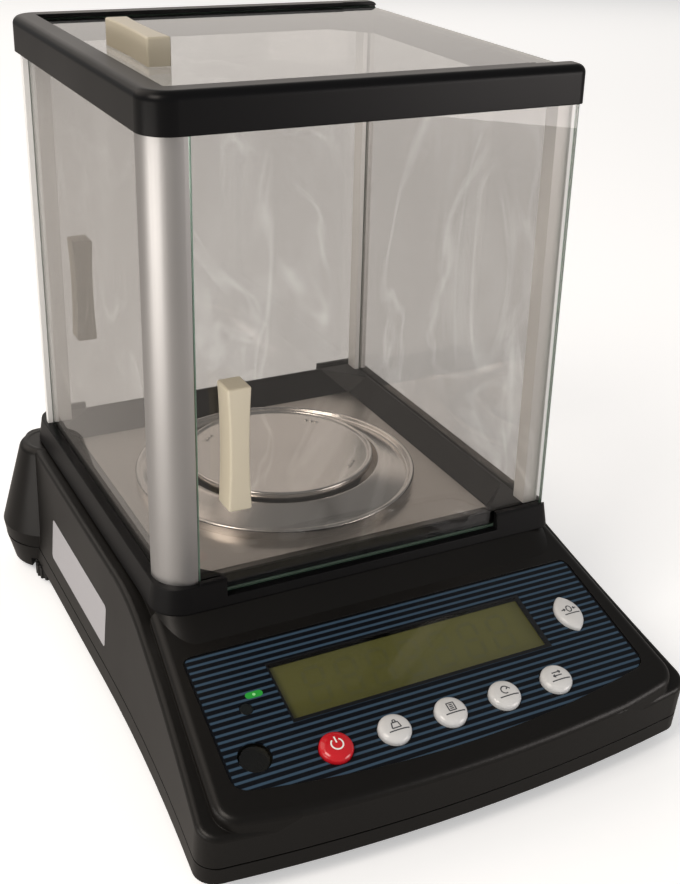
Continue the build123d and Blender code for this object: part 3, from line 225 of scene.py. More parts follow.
def metal(name, dark, light, rough, streaks, deep, edge=0.2, bare=1.0):
    """Bare or anodised metal, with streaks that are long where their size is long."""
    finish, tree, where = new_finish(name)
    drawn = add(tree, "ShaderNodeVectorMath", {
        0: where, 1: [1 / (s * MM) for s in streaks]}, operation="MULTIPLY")
    lines = add(tree, "ShaderNodeTexNoise", {"Vector": drawn, "Scale": 1.0, "Detail": 3.0})
    broad = add(tree, "ShaderNodeTexNoise", {"Vector": where, "Scale": 1 / (METAL_CLOUD * MM), "Detail": 3.0})
    soft = add(tree, "ShaderNodeBevel", {"Radius": edge * MM}, samples=4)
    bump = add(tree, "ShaderNodeBump", {
        "Height": lines, "Distance": deep * MM, "Strength": 1.0, "Normal": soft})
    dull = add(tree, "ShaderNodeMapRange", {
        "Value": lines, "To Min": rough - STREAK_DULL, "To Max": rough + STREAK_DULL})
    colour = add(tree, "ShaderNodeMix", {SHARE: broad, LOW: dark, HIGH: light}, data_type="RGBA")
    surface = add(tree, "ShaderNodeBsdfPrincipled", {
        "Base Color": colour.outputs[MIXED], "Metallic": bare, "Roughness": dull, "Normal": bump})
    add(tree, "ShaderNodeOutputMaterial", {"Surface": surface})
    return finish


cast = metal("sand_cast_aluminium", "#8d8c8a", "#a5a4a2", rough=0.6, streaks=(1.5, 1.5, 1.5), deep=0.08)
milled = metal("milled_aluminium", "#b9b9ba", "#c9c9c9", rough=0.32, streaks=(30, 0.6, 0.6), deep=0.01)
turned = metal("turned_steel", "#a9a7a4", "#bbb9b6", rough=0.25, streaks=(20, 20, 0.5), deep=0.01)
dress(cast, "chassis")
dress(milled, "load_cell", "carrier_arm")
dress(turned, "spindle")

# Boards. Green lacquered glass fibre with copper tracks under the lacquer, in the main
# board and the display board. The lacquer is glossy, and tracks show a shade lighter.
TRACK_PITCH = 2.54  # a tenth of an inch, the usual grid of a board
TRACK_SHARE = 0.08  # of the pitch that is copper
circuit, tree, where = new_finish("lacquered_circuit_board")
tracks = add(tree, "ShaderNodeTexBrick", {
    "Vector": where, "Scale": 1 / (TRACK_PITCH * MM), "Mortar Size": TRACK_SHARE,
    "Color1": "#0e4a26", "Color2": "#12552d", "Mortar": "#2f7a4a"})
lacquer = add(tree, "ShaderNodeBsdfPrincipled", {"Base Color": tracks, "Roughness": 0.25, "IOR": 1.5})
add(tree, "ShaderNodeOutputMaterial", {"Surface": lacquer})
dress(circuit, "main_board", "display_board")

# Battery block and sockets. The battery is wrapped in blue shrink film, glossy with shallow
# waves, and the power inlet is black nylon. The data port's shell is pressed steel with bright
# nickel on it.
shrink_film = moulded("blue_shrink_film", "#16334f", "#1c3d5c",
                      rough=0.3, shine=0.5, grain=6.0, deep=0.05, edge=0.5)
nickel = metal("nickel_plate", "#b2aea6", "#c6c2ba", rough=0.28, streaks=(3, 3, 3), deep=0.004)
dress(shrink_film, "battery_pack")
dress(wheel_nylon, "dc_inlet")
dress(nickel, "data_port")

# Screws. Case screws, board screws and the long tie screws that hold the shield down are
# zinc-plated steel, with the soft blue-grey of the plating.
zinc = metal("zinc_plated_steel", "#8f9294", "#a6a9ab", rough=0.4, streaks=(0.8, 0.8, 0.8), deep=0.01)
dress(zinc, "case_screws", "board_screws", "tie_screws")

# Console. A plane that slopes to the front carries the printed panel, the display window
# and the keys. x runs to the right, s down the slope, and h out of the surface.
SLOPE = math.radians(17.2)
CONSOLE_Y, CONSOLE_Z = -72.2, 59.0
CONSOLE = Matrix.Translation((0, CONSOLE_Y, CONSOLE_Z)) @ Matrix.Rotation(SLOPE, 4, "X")

# Printed panel. Polycarbonate film, screen printed from behind in navy with slate-blue
# stripes, and glued into a shallow recess. Its face is satin, with a hard plastic gleam.
STRIPE_PITCH = 3.02
STRIPE_SHARE = 0.36  # of the pitch that is slate blue
STRIPE_BLUR = 0.07  # of the pitch, over which a stripe's edge fades to either side
BORDER = 0.9  # unprinted navy edge
BORDER_BLUR = 0.3
PANEL_TOP_HALF = 90.4  # half of the panel's width along its top
PANEL_FLARE = 2.0 / 62.0  # the panel widens by this much on each side, per millimetre of slope
SATIN, SATIN_DEEP = 0.8, 0.006  # drawn coarser than the film's real 0.05 mm, so that it shows
panel_film, tree, where = new_finish("printed_polycarbonate")
top_line = [0, CONSOLE_Y * MM, CONSOLE_Z * MM]
down_slope = [0, -math.cos(SLOPE) / MM, -math.sin(SLOPE) / MM]
from_top = add(tree, "ShaderNodeVectorMath", {0: where, 1: top_line}, operation="SUBTRACT")
s_mm = add(tree, "ShaderNodeVectorMath", {
    0: from_top, 1: down_slope}, operation="DOT_PRODUCT").outputs["Value"]
stripes = add(tree, "ShaderNodeMath", {0: s_mm, 1: STRIPE_PITCH}, operation="DIVIDE")
part_of = add(tree, "ShaderNodeMath", {0: stripes}, operation="FRACT")
from_middle = add(tree, "ShaderNodeMath", {0: part_of, 1: 0.5}, operation="SUBTRACT")
off_middle = add(tree, "ShaderNodeMath", {0: from_middle}, operation="ABSOLUTE")
stripe = add(tree, "ShaderNodeMapRange", {
    "Value": off_middle, "To Min": 1.0, "To Max": 0.0,
    "From Min": STRIPE_SHARE / 2 - STRIPE_BLUR, "From Max": STRIPE_SHARE / 2 + STRIPE_BLUR,
}, interpolation_type="SMOOTHSTEP")
x_m = add(tree, "ShaderNodeSeparateXYZ", {0: where})
x_mm = add(tree, "ShaderNodeMath", {0: x_m, 1: 1 / MM}, operation="MULTIPLY")
sideways = add(tree, "ShaderNodeMath", {0: x_mm}, operation="ABSOLUTE")
flare = add(tree, "ShaderNodeMath", {0: s_mm, 1: PANEL_FLARE}, operation="MULTIPLY")
squared = add(tree, "ShaderNodeMath", {0: sideways, 1: flare}, operation="SUBTRACT")
inside = add(tree, "ShaderNodeMapRange", {
    "Value": squared, "To Min": 1.0, "To Max": 0.0,
    "From Min": PANEL_TOP_HALF - BORDER - BORDER_BLUR, "From Max": PANEL_TOP_HALF - BORDER})
printed = add(tree, "ShaderNodeMath", {0: stripe, 1: inside}, operation="MULTIPLY")
inks = add(tree, "ShaderNodeMix", {SHARE: printed, LOW: "#060910", HIGH: "#384d60"}, data_type="RGBA")
fine = add(tree, "ShaderNodeTexNoise", {"Vector": where, "Scale": 1 / (SATIN * MM), "Detail": 2.0})
grit = add(tree, "ShaderNodeBump", {"Height": fine, "Distance": SATIN_DEEP * MM, "Strength": 1.0})
satin_film = add(tree, "ShaderNodeBsdfPrincipled", {
    "Base Color": inks.outputs[MIXED], "Roughness": 0.3, "IOR": 1.58,
    "Specular IOR Level": 0.18, "Normal": grit})
add(tree, "ShaderNodeOutputMaterial", {"Surface": satin_film})
dress(panel_film, "console_panel")

# Charge mark. A small green pill with a lighter dot, screen printed on the panel's face
# beside the status lamp.
PANEL_H = -0.4  # the panel's face
INK = 0.03  # thickness of a printed skin, so that it clears what it lies on
SCREEN = 0.4  # pitch of the printing mesh, drawn coarser than the real 0.1 mm so that it shows
THIN, THICK = 0.92, 1.08  # brightness where the mesh leaves more or less ink


def ink(name, colour, rough=0.35):
    """Screen-printing ink: dense colour with the slightly uneven cover of the mesh."""
    finish, tree, where = new_finish(name)
    weave = add(tree, "ShaderNodeTexNoise", {"Vector": where, "Scale": 1 / (SCREEN * MM), "Detail": 2.0})
    uneven = add(tree, "ShaderNodeMapRange", {"Value": weave, "To Min": THIN, "To Max": THICK})
    shade = add(tree, "ShaderNodeHueSaturation", {"Color": colour, "Value": uneven})
    coat = add(tree, "ShaderNodeBsdfPrincipled", {"Base Color": shade, "Roughness": rough})
    add(tree, "ShaderNodeOutputMaterial", {"Surface": coat})
    return finish


def arc(x, y, radius, start, end, steps):
    """Points of an arc, angles in degrees."""
    turns = [math.radians(start + (end - start) * i / steps) for i in range(steps + 1)]
    return [(x + radius * math.cos(a), y + radius * math.sin(a)) for a in turns]


def flat_patch(name, outline, h, finish, body):
    """Thin printed patch from its outline on the console."""
    made = mesh_object(name, [(x, y, h) for x, y in outline], [tuple(range(len(outline)))], CONSOLE)
    made.data.materials.append(finish)
    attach(made, body)
    return made


def pill(x, y, wide, high):
    """Outline with two round ends."""
    r = high / 2
    return arc(x + wide / 2 - r, y, r, -90, 90, 12) + arc(x - wide / 2 + r, y, r, 90, 270, 12)


PILL_X, PILL_S = -69.6, 24.2
PILL_W, PILL_H, DOT = 7.2, 2.9, 1.3
mark_outline = pill(PILL_X, -PILL_S, PILL_W, PILL_H)
dot_outline = pill(PILL_X, -PILL_S, DOT, DOT)
flat_patch("charge_mark", mark_outline, PANEL_H + INK, ink("green_ink", "#27a03a"), "balance")
flat_patch("charge_mark_dot", dot_outline, PANEL_H + 2 * INK, ink("pale_green_ink", "#9be59a"), "balance")

# Display. A reflective liquid crystal under an acrylic window: satin olive film with its
# unlit figures just visible, in a dark bezel on the module, drawn wide as painted shade of the window's
# recess.
WINDOW_X, WINDOW_S = -1.0, 26.6
WINDOW_W, WINDOW_H = 118.0, 28.8
FILM_H = -3.1  # the crystal lies a little under the window
BEZEL_SHADE = 1.3  # the film ends short of the window's edge, and leaves a dark border: the module's bezel, drawn wide as painted shade of the recess
FILM_CLOUD = 70.0  # size of the slow change of tone over the film


def rectangle(x0, x1, y0, y1):
    """Outline of a rectangle."""
    return [(x0, y0), (x1, y0), (x1, y1), (x0, y1)]


def window_area(left, right, top, foot):
    """The window's outline, drawn in by so much at each edge."""
    x0, x1 = WINDOW_X - WINDOW_W / 2 + left, WINDOW_X + WINDOW_W / 2 - right
    return rectangle(x0, x1, -WINDOW_S - WINDOW_H / 2 + foot, -WINDOW_S + WINDOW_H / 2 - top)


display_film, tree, where = new_finish("olive_display_film")
tone = add(tree, "ShaderNodeTexNoise", {"Vector": where, "Scale": 1 / (FILM_CLOUD * MM), "Detail": 1.0})
olive = add(tree, "ShaderNodeMix", {SHARE: tone, LOW: "#5a5b2a", HIGH: "#696830"}, data_type="RGBA")
crystal = add(tree, "ShaderNodeBsdfPrincipled", {
    "Base Color": olive.outputs[MIXED], "Roughness": 0.4, "Specular IOR Level": 0.3})
add(tree, "ShaderNodeOutputMaterial", {"Surface": crystal})
film = flat_patch("display_film", window_area(BEZEL_SHADE, BEZEL_SHADE, BEZEL_SHADE, BEZEL_SHADE), FILM_H, display_film, "balance")

DIGITS = 7
DIGIT_PITCH, DIGIT_W, DIGIT_H, BAR = 14.2, 9.6, 18.4, 1.7
DIGIT_LEAN = 0.1  # the figures lean to the right
unlit = ink("unlit_segment", "#5a5b2c", 0.4)
for d in range(DIGITS):
    x0 = WINDOW_X + (d - (DIGITS - 1) / 2) * DIGIT_PITCH
    bars = []
    for y in (-1, 0, 1):
        bars.append((0, y * DIGIT_H / 2, DIGIT_W - 2 * BAR, BAR, y))
    for x in (-1, 1):
        for y in (-1, 1):
            bars.append((x * (DIGIT_W / 2 - BAR / 2), y * DIGIT_H / 4, BAR, DIGIT_H / 2 - 2 * BAR, 0))
    points, faces = [], []
    for x, y, w, h, rim in bars:
        y -= rim * BAR / 2
        shape = rectangle(x - w / 2, x + w / 2, y - h / 2, y + h / 2)
        faces.append(tuple(range(len(points), len(points) + 4)))
        points += [(x0 + px + DIGIT_LEAN * py, -WINDOW_S + py, FILM_H + INK) for px, py in shape]
    figure = mesh_object(f"unlit_figure_{d + 1}", points, faces, CONSOLE)
    figure.data.materials.append(unlit)
    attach(figure, "balance")

# Window. Clear acrylic with a black border printed round its face, which hides the cut edges.
# Like all clear sheets here it carries faint painted reflections, drawn paler than the sheet:
# soft clouds, and thin wisps along the lines where a broad pattern crosses its middle, in patches.
REFLECTION_TURN, REFLECTION_STRETCH = (0.5, 0.3, 0.6), (1.0, 1.0, 0.45)  # which way the painted reflections run
REFLECTION_CLOUD, REFLECTION_STREAK = 55.0, 85.0  # sizes of the clouds, and of the pattern behind the wisps
REFLECTION_WISP = 0.03  # half the width of a wisp, as a part of that pattern's range
MASK_LEFT, MASK_RIGHT, MASK_TOP, MASK_FOOT = 0.7, 1.6, 0.8, 1.4
MASK_OVER = 0.2  # the border laps over the cut edge by this much


def clear(name, tint, index, rough, shade, reflection_strength):
    """Clear glass or plastic with faint painted reflections, which lets light pass on behind it."""
    finish, tree, where = new_finish(name)
    reflection_space = add(tree, "ShaderNodeMapping", {"Vector": where, "Rotation": REFLECTION_TURN, "Scale": REFLECTION_STRETCH})
    reflection_clouds = add(tree, "ShaderNodeTexNoise", {
        "Vector": reflection_space, "Scale": 1 / (REFLECTION_CLOUD * MM), "Detail": 4.0, "Roughness": 0.5, "Distortion": 1.2})
    painted_cloud = add(tree, "ShaderNodeMapRange", {
        "Value": reflection_clouds, "From Min": 0.5, "From Max": 0.75, "To Min": 0.0, "To Max": reflection_strength / 2,
    }, interpolation_type="SMOOTHSTEP")
    streak_pattern = add(tree, "ShaderNodeTexNoise", {
        "Vector": reflection_space, "Scale": 1 / (REFLECTION_STREAK * MM), "Detail": 2.0, "Roughness": 0.45, "Distortion": 2.2})
    from_middle = add(tree, "ShaderNodeMath", {0: streak_pattern, 1: 0.5}, operation="SUBTRACT")
    off_middle = add(tree, "ShaderNodeMath", {0: from_middle}, operation="ABSOLUTE")
    line = add(tree, "ShaderNodeMapRange", {
        "Value": off_middle, "From Min": 0.0, "From Max": REFLECTION_WISP, "To Min": reflection_strength, "To Max": 0.0,
    }, interpolation_type="SMOOTHSTEP")
    patch = add(tree, "ShaderNodeMapRange", {
        "Value": reflection_clouds, "From Min": 0.42, "From Max": 0.6, "To Min": 0.0, "To Max": 1.0,
    }, interpolation_type="SMOOTHSTEP")
    painted_wisp = add(tree, "ShaderNodeMath", {0: line, 1: patch}, operation="MULTIPLY")
    painted_reflections = add(tree, "ShaderNodeMath", {0: painted_cloud, 1: painted_wisp}, operation="ADD")
    # Painted reflections: clouds and wisps draw the sheet paler, towards near white.
    colour = add(tree, "ShaderNodeMix", {SHARE: painted_reflections, LOW: tint, HIGH: "#f4f4f3"}, data_type="RGBA")
    sheet = add(tree, "ShaderNodeBsdfPrincipled", {
        "Base Color": colour.outputs[MIXED], "Roughness": rough, "IOR": index,
        "Specular IOR Level": 0.38, "Transmission Weight": 1.0})
    passing = add(tree, "ShaderNodeBsdfTransparent", {"Color": shade})
    ray = add(tree, "ShaderNodeLightPath").outputs
    mirrored = add(tree, "ShaderNodeMath", {
        0: ray["Is Glossy Ray"], 1: ray["Is Transmission Ray"]}, operation="SUBTRACT")
    bounced = add(tree, "ShaderNodeMath", {0: ray["Is Diffuse Ray"], 1: mirrored}, operation="MAXIMUM")
    unseen = add(tree, "ShaderNodeMath", {0: ray["Is Shadow Ray"], 1: bounced}, operation="MAXIMUM")
    either = add(tree, "ShaderNodeMixShader", {0: unseen, 1: sheet, 2: passing})
    add(tree, "ShaderNodeOutputMaterial", {"Surface": either})
    return finish


outer = window_area(-MASK_OVER, -MASK_OVER, -MASK_OVER, -MASK_OVER)
inner = window_area(MASK_LEFT, MASK_RIGHT, MASK_TOP, MASK_FOOT)
mask_points = [(x, y, PANEL_H + INK) for x, y in outer + inner]
mask_faces = [(i, (i + 1) % 4, (i + 1) % 4 + 4, i + 4) for i in range(4)]
mask = mesh_object("window_border", mask_points, mask_faces, CONSOLE)
mask.data.materials.append(ink("black_ink", "#07090d", 0.3))
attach(mask, "balance")
window_acrylic = clear("clear_acrylic", "#f4f4ee", index=1.49, rough=0.05, shade="#f0f0ec", reflection_strength=0.1)
module_plastic = moulded("black_module_plastic", "#0d0d0e", "#141415",
                         rough=0.45, shine=0.4, grain=1.0, deep=0.01, edge=0.2)
dress(window_acrylic, "display_window")
dress(module_plastic, "display_module")

# Keys. Glossy ABS domes that stand through the panel: red for power, four white ones
# beside it, and a white lens-shaped one at the right. Each rides on its own switch.
KEY_PITCH, KEY_S, KEY_R = 24.9, 57.2, 6.7
KEY_LOW, KEY_SIDE, KEY_DOME = -2.55, 0.45, 2.55  # foot and top of a cap's side, and its dome's rise
SHOULDER = 0.62  # under 1, so that the dome keeps a full shoulder
DOME_RINGS = 18
DOME_TOP = 0.004  # the last ring's share of the key, so that its face isn't a point
TARE_X, TARE_S = 74.3, 28.6
TARE_LEN, TARE_WIDE, TARE_DOME = 18.6, 11.6, 2.05
TARE_ARC = ((TARE_LEN / 2) ** 2 + (TARE_WIDE / 2) ** 2) / TARE_WIDE  # radius of the lens's sides
TARE_BLUNT = 0.965  # of each side's arc that is kept, which leaves blunt tips


def skin(rings, looped=False):
    """Points and faces of a skin over rings of as many points each, with a face at each end
    or looped back to the first ring."""
    count = len(rings[0])
    points = [p for ring in rings for p in ring]
    faces = []
    for r in range(len(rings) if looped else len(rings) - 1):
        low, high = r * count, (r + 1) % len(rings) * count
        faces += [(low + i, low + (i + 1) % count, high + (i + 1) % count, high + i) for i in range(count)]
    if not looped:
        faces.append(tuple(reversed(range(count))))
        faces.append(tuple(range((len(rings) - 1) * count, len(rings) * count)))
    return points, faces


def smooth(made, finish, body, sharp):
    """Shade a piece smooth, give it its finish, and let it ride."""
    made.data.shade_smooth()
    made.data.set_sharp_from_angle(angle=math.radians(sharp))
    made.data.materials.append(finish)
    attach(made, body)


def lens_outline(steps=24):
    """Two arcs that meet in blunt tips, for a lens of the tare key's size."""
    reach = math.degrees(math.asin(TARE_LEN / 2 / TARE_ARC)) * TARE_BLUNT
    right = arc(TARE_WIDE / 2 - TARE_ARC, 0, TARE_ARC, -reach, reach, steps)
    return right + [(-x, -y) for x, y in right]


def dome_lift(k, rise):
    """Height of a dome above its side, k from 0 in the middle to 1 at the rim."""
    return rise * math.sin(math.acos(min(1.0, k ** (1 / SHOULDER))))


def key_cap(name, outline, x, s, rise, finish):
    """Domed key over one outline, in place of its CAD node."""
    levels = [(1.0, KEY_LOW), (1.0, 0.0)]
    for i in range(DOME_RINGS + 1):
        up = math.radians(90 / DOME_RINGS * i)
        levels.append((max(DOME_TOP, math.cos(up) ** SHOULDER), KEY_SIDE + rise * math.sin(up)))
    rings = [[(x + px * k, -s + py * k, h) for px, py in outline] for k, h in levels]
    made = mesh_object(f"{name}_cap", *skin(rings), CONSOLE)
    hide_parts(name)
    smooth(made, finish, name, 60)


def glossy(name, dark, light, rough):
    """Glossy moulded ABS: deep even colour under a smooth skin."""
    return moulded(name, dark, light, rough, shine=0.5, grain=5.0, deep=0.01, edge=0.1)


red_abs = glossy("glossy_red_abs", "#c41724", "#d02029", 0.16)
white_abs = glossy("glossy_white_abs", "#d0d1d2", "#dadbdb", 0.16)
circle = arc(0, 0, KEY_R, 0, 360, 72)[:-1]
key_names = ["key_power", "key_calibrate", "key_print", "key_mode", "key_units"]
key_x = {name: (i - 2) * KEY_PITCH for i, name in enumerate(key_names)}
for name in key_names:
    cap_abs, cap_slot = (red_abs, "red_key") if name == "key_power" else (white_abs, "white_key")
    key_cap(name, circle, key_x[name], KEY_S, KEY_DOME, cap_abs)
key_cap("key_tare", lens_outline(), TARE_X, TARE_S, TARE_DOME, white_abs)

# Key signs. Pad printed on the domes: a white power sign on the red key, and on the white
# ones plain grey signs for what they do, each over a thin line.
STROKE = 0.52
POWER_STROKE = 0.62
STROKE_STEP = 0.4  # about the longest straight piece in a line that follows a dome


def round_share(x, y):
    """How far out a point lies on a round key, 1 at its rim."""
    return math.hypot(x, y) / KEY_R


def lens_share(x, y):
    """How far out a point lies on the lens-shaped key, 1 at its rim."""
    off = TARE_ARC - TARE_WIDE / 2
    square = max(1e-9, x * x + y * y)  # never nothing, in the very middle
    scale = (-off * abs(x) + math.sqrt(off * off * x * x + square * (TARE_ARC**2 - off**2))) / square
    return 1 / scale


def sign(key, strokes, finish, wide=STROKE, middle=None, share=round_share, rise=KEY_DOME):
    """Printed lines that follow a key's dome. Each stroke is a list of points."""
    points, faces = [], []
    cx, cs = middle or (key_x[key], KEY_S)
    for stroke in strokes:
        fine = []
        for (ax, ay), (bx, by) in zip(stroke, stroke[1:]):
            cuts = max(1, round(math.hypot(bx - ax, by - ay) / STROKE_STEP))
            fine += [(ax + (bx - ax) * i / cuts, ay + (by - ay) * i / cuts) for i in range(cuts)]
        fine.append(stroke[-1])
        first = len(points)
        for i, (px, py) in enumerate(fine):
            ax, ay = fine[max(0, i - 1)]
            bx, by = fine[min(len(fine) - 1, i + 1)]
            size = math.hypot(bx - ax, by - ay) or 1.0
            nx, ny = -(by - ay) / size * wide / 2, (bx - ax) / size * wide / 2
            for qx, qy in ((px + nx, py + ny), (px - nx, py - ny)):
                h = KEY_SIDE + dome_lift(share(qx, qy), rise) + INK
                points.append((cx + qx, -cs + qy, h))
        for i in range(len(fine) - 1):
            a = first + 2 * i
            faces.append((a, a + 1, a + 3, a + 2))
    made = mesh_object(f"{key}_sign", points, faces, CONSOLE)
    made.data.materials.append(finish)
    made.data.shade_smooth()
    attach(made, key)


def arrow(x0, x1, y, back, half):
    """Line from x0 to x1 with an open head at x1."""
    x = x1 + math.copysign(back, x0 - x1)
    return [[(x0, y), (x1, y)], [(x, y + half), (x1, y), (x, y - half)]]


white_ink = ink("white_ink", "#f2f0ee", 0.3)
grey_ink = ink("grey_ink", "#3e4146", 0.3)
power = [arc(0, 0, 2.35, 125, 415, 24), [(0, 0.5), (0, 3.3)]]
sign("key_power", power, white_ink, POWER_STROKE)
underline = [(-3.6, -2.0), (5.0, -2.0)]
weight = [(-1.9, -0.9), (-1.3, 1.5), (1.3, 1.5), (1.9, -0.9), (-1.9, -0.9)]
knob = arc(0, 2.1, 0.6, -90, 270, 12)
sign("key_calibrate", [weight, knob, underline], grey_ink)
page = [(-1.5, -0.9), (-1.5, 2.6), (1.5, 2.6), (1.5, -0.9), (-1.5, -0.9)]
page_lines = [[(-0.8, y), (0.8, y)] for y in (0.0, 0.85, 1.7)]
sign("key_print", [page, *page_lines, underline], grey_ink)
turn = arc(0, 0.9, 1.7, 30, 290, 18)
turn_head = [(0.6, 1.0), (1.5, 1.8), (2.3, 0.9)]
sign("key_mode", [turn, turn_head, underline], grey_ink)
swap = arrow(-2.0, 2.0, 1.7, back=0.9, half=0.7) + arrow(2.0, -2.0, 0.1, back=0.9, half=0.7)
sign("key_units", [*swap, underline], grey_ink)
zero = [(x * 0.75, y) for x, y in arc(0, 0.9, 1.5, 0, 360, 20)]
to_zero = arrow(-3.6, -1.9, 0.9, back=0.7, half=0.6) + arrow(3.6, 1.9, 0.9, back=0.7, half=0.6)
tare_line = [(-3.2, -1.6), (4.2, -1.6)]
sign("key_tare", [zero, *to_zero, tare_line], grey_ink,
     middle=(TARE_X, TARE_S), share=lens_share, rise=TARE_DOME)

# Status lamp and level. The lamp is a smoked light guide, dark and shiny when it is off. The
# level is an acrylic vial in a matt dark cup, tinted by its yellow-green liquid.
smoked_guide = moulded("smoked_polycarbonate", "#101314", "#1a1e1f",
                       rough=0.12, shine=0.5, grain=3.0, deep=0.004, edge=0.2)
cup_abs = moulded("cup_black_abs", "#0c0c0c", "#131312",
                  rough=0.5, shine=0.4, grain=0.8, deep=0.01, edge=0.2)
# The vial carries the same faint painted reflections as every clear sheet.
vial_acrylic = clear("vial_acrylic", "#8f8a6c", index=1.49, rough=0.03, shade="#a8a488", reflection_strength=0.1)
dress(smoked_guide, "status_lamp")
dress(cup_abs, "level_cup")
dress(vial_acrylic, "level_vial")

# Shield frames. Two mouldings in semi-gloss black ABS: the lower one has the door tracks
# and the bevel round the chamber floor, the upper one holds the sliding top glass.
frame_abs = moulded("satin_black_abs", "#0a0a0b", "#0e0e10",
                    rough=0.33, shine=0.13, grain=1.6, deep=0.0008, edge=0.8)
dress(frame_abs, "lower_frame", "top_frame")

# Posts. Extruded and clear anodised aluminium, with faint lines along the post. The one at
# the left front was satin etched, which spreads the light into a soft sheen. The other three
# are drawn pale, near white and barely metal: painted light, for the light that they catch.
POST_LINES = (0.5, 0.5, 120)
post_aluminium = metal("satin_anodised_aluminium", "#b8b7b7", "#c2c1c1",
                       rough=0.42, streaks=POST_LINES, deep=0.006, edge=0.3)
# Painted light: the three pale posts are drawn near white and barely metal.
painted_light_aluminium = metal("anodised_aluminium_painted_pale", "#f4f4f3", "#f9f9f8",
                       rough=0.4, streaks=POST_LINES, deep=0.004, edge=0.3, bare=0.2)
dress(post_aluminium, "post_front_left")
dress(painted_light_aluminium, "post_front_right", "post_rear_right", "post_rear_left")

# Glass. Five sheets of 3.5 mm float glass, cut and ground along their edges: two fixed
# panes in the posts' slots and three doors. The cut edges gather light and look green.
ARRIS = 0.45  # ground corner of each edge
GRIT, GRIT_DEEP = 0.6, 0.01  # marks of the grinding, coarser than the real 0.1 mm to show
# The grey tint, and the dimming of lamplight that passes, are deeper than float glass gives: painted shade
# that darkens all that is seen through the sheets. Their clouds and wisps are painted reflections.
float_glass = clear("float_glass", "#d4d2d0", index=1.5, rough=0.0, shade="#eae9e8", reflection_strength=0.45)
edge_glass, tree, where = new_finish("ground_glass_edge")
grind = add(tree, "ShaderNodeTexNoise", {"Vector": where, "Scale": 1 / (GRIT * MM), "Detail": 2.0})
uneven = add(tree, "ShaderNodeBump", {"Height": grind, "Distance": GRIT_DEEP * MM, "Strength": 1.0})
green = add(tree, "ShaderNodeMix", {SHARE: grind, LOW: "#3f5a4c", HIGH: "#6f8f7e"}, data_type="RGBA")
ground = add(tree, "ShaderNodeBsdfPrincipled", {
    "Base Color": green.outputs[MIXED], "Roughness": 0.3, "IOR": 1.5,
    "Transmission Weight": 0.5, "Normal": uneven})
add(tree, "ShaderNodeOutputMaterial", {"Surface": ground})


def glass_sheet(node, thin, body):
    """Sheet of glass in place of its CAD node, thin along one axis."""
    low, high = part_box(node)
    shape = bmesh.new()
    bmesh.ops.create_cube(shape, size=1.0)
    for v in shape.verts:
        v.co = Vector((low[i] + (v.co[i] + 0.5) * (high[i] - low[i]) for i in range(3)))
    bmesh.ops.bevel(shape, geom=shape.edges[:], offset=ARRIS * MM, segments=2, affect="EDGES", profile=0.5)
    for face in shape.faces:
        clear_side = abs(face.normal[thin]) > 0.99
        face.material_index = 0 if clear_side else 1
    mesh = bpy.data.meshes.new(f"{node}_glass")
    shape.to_mesh(mesh)
    shape.free()
    made = bpy.data.objects.new(f"{node}_glass", mesh)
    bpy.context.scene.collection.objects.link(made)
    mesh.materials.append(float_glass)
    mesh.materials.append(edge_glass)
    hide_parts(node)
    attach(made, body)


glass_sheet("pane_left", 0, "balance")
glass_sheet("pane_right", 0, "balance")
glass_sheet("front_door", 1, "front_door")
glass_sheet("rear_door", 1, "rear_door")
glass_sheet("top_door", 2, "top_door")

# Door handles. Waisted blocks in ivory ABS, moulded smooth, with corners rounded by a little
# under a millimetre. Foam tape bonds them to the glass and shows through it; its near-white
# is painted light, which lifts the face that the glass leaves dim.
GRIP_W, GRIP_LEN, GRIP_DEEP = 9.6, 51.8, 10.94
GRIP_WAIST, GRIP_ROUND = 0.8, 0.95
GRIP_STEPS = 6  # of each round
GRIP_FOOT = 1.5  # a ring this near the glass keeps the shading of the foot even
LEAST_ROUND = 0.05
GLUE = 0.06  # film of glue between a handle and its door
FRONT_GRIP = (-61.3, -52.4 - GLUE, 139.4)
REAR_GRIP = (-61.3, 131.6 + GLUE, 139.4)
TOP_GRIP = (-66.4, 26.8, 272.3 + GLUE)


def grip_outline(inset, steps=28):
    """Plan of a handle: two long sides that draw in towards the middle, round corners."""
    half_w, half_len = GRIP_W / 2 - inset, GRIP_LEN / 2 - inset
    r = max(LEAST_ROUND, GRIP_ROUND - inset)
    right = []
    for i in range(steps + 1):
        t = -1 + 2 * i / steps
        y = t * (half_len - r)
        right.append((half_w - GRIP_WAIST * (1 - t * t), y))
    corner = arc(half_w - r, half_len - r, r, 10, 90, GRIP_STEPS)
    lower = [(x, -y) for x, y in reversed(corner)]
    half = lower + right + corner
    return half + [(-x, -y) for x, y in half]


def grip(node, place, body):
    """Handle in place of its CAD node, with tape on the face that meets the glass, drawn near white as
    painted light.
    """
    levels = [(0.0, h) for h in (0.0, GRIP_FOOT, GRIP_DEEP / 2, GRIP_DEEP - GRIP_ROUND)]
    for i in range(1, GRIP_STEPS + 1):
        a = math.radians(90 / GRIP_STEPS * i)
        levels.append((GRIP_ROUND * (1 - math.cos(a)), GRIP_DEEP - GRIP_ROUND * (1 - math.sin(a))))
    rings = [[(x, y, h) for x, y in grip_outline(inset)] for inset, h in levels]
    made = mesh_object(f"{node}_grip", *skin(rings), place)
    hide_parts(node)
    smooth(made, ivory_abs, body, 50)
    made.data.materials.append(tape_painted_light)
    bonded = made.data.polygons[-2]  # the skin's two end faces come last
    bonded.material_index = 1


ivory_abs = glossy("ivory_abs", "#bab19c", "#c4bca9", 0.32)
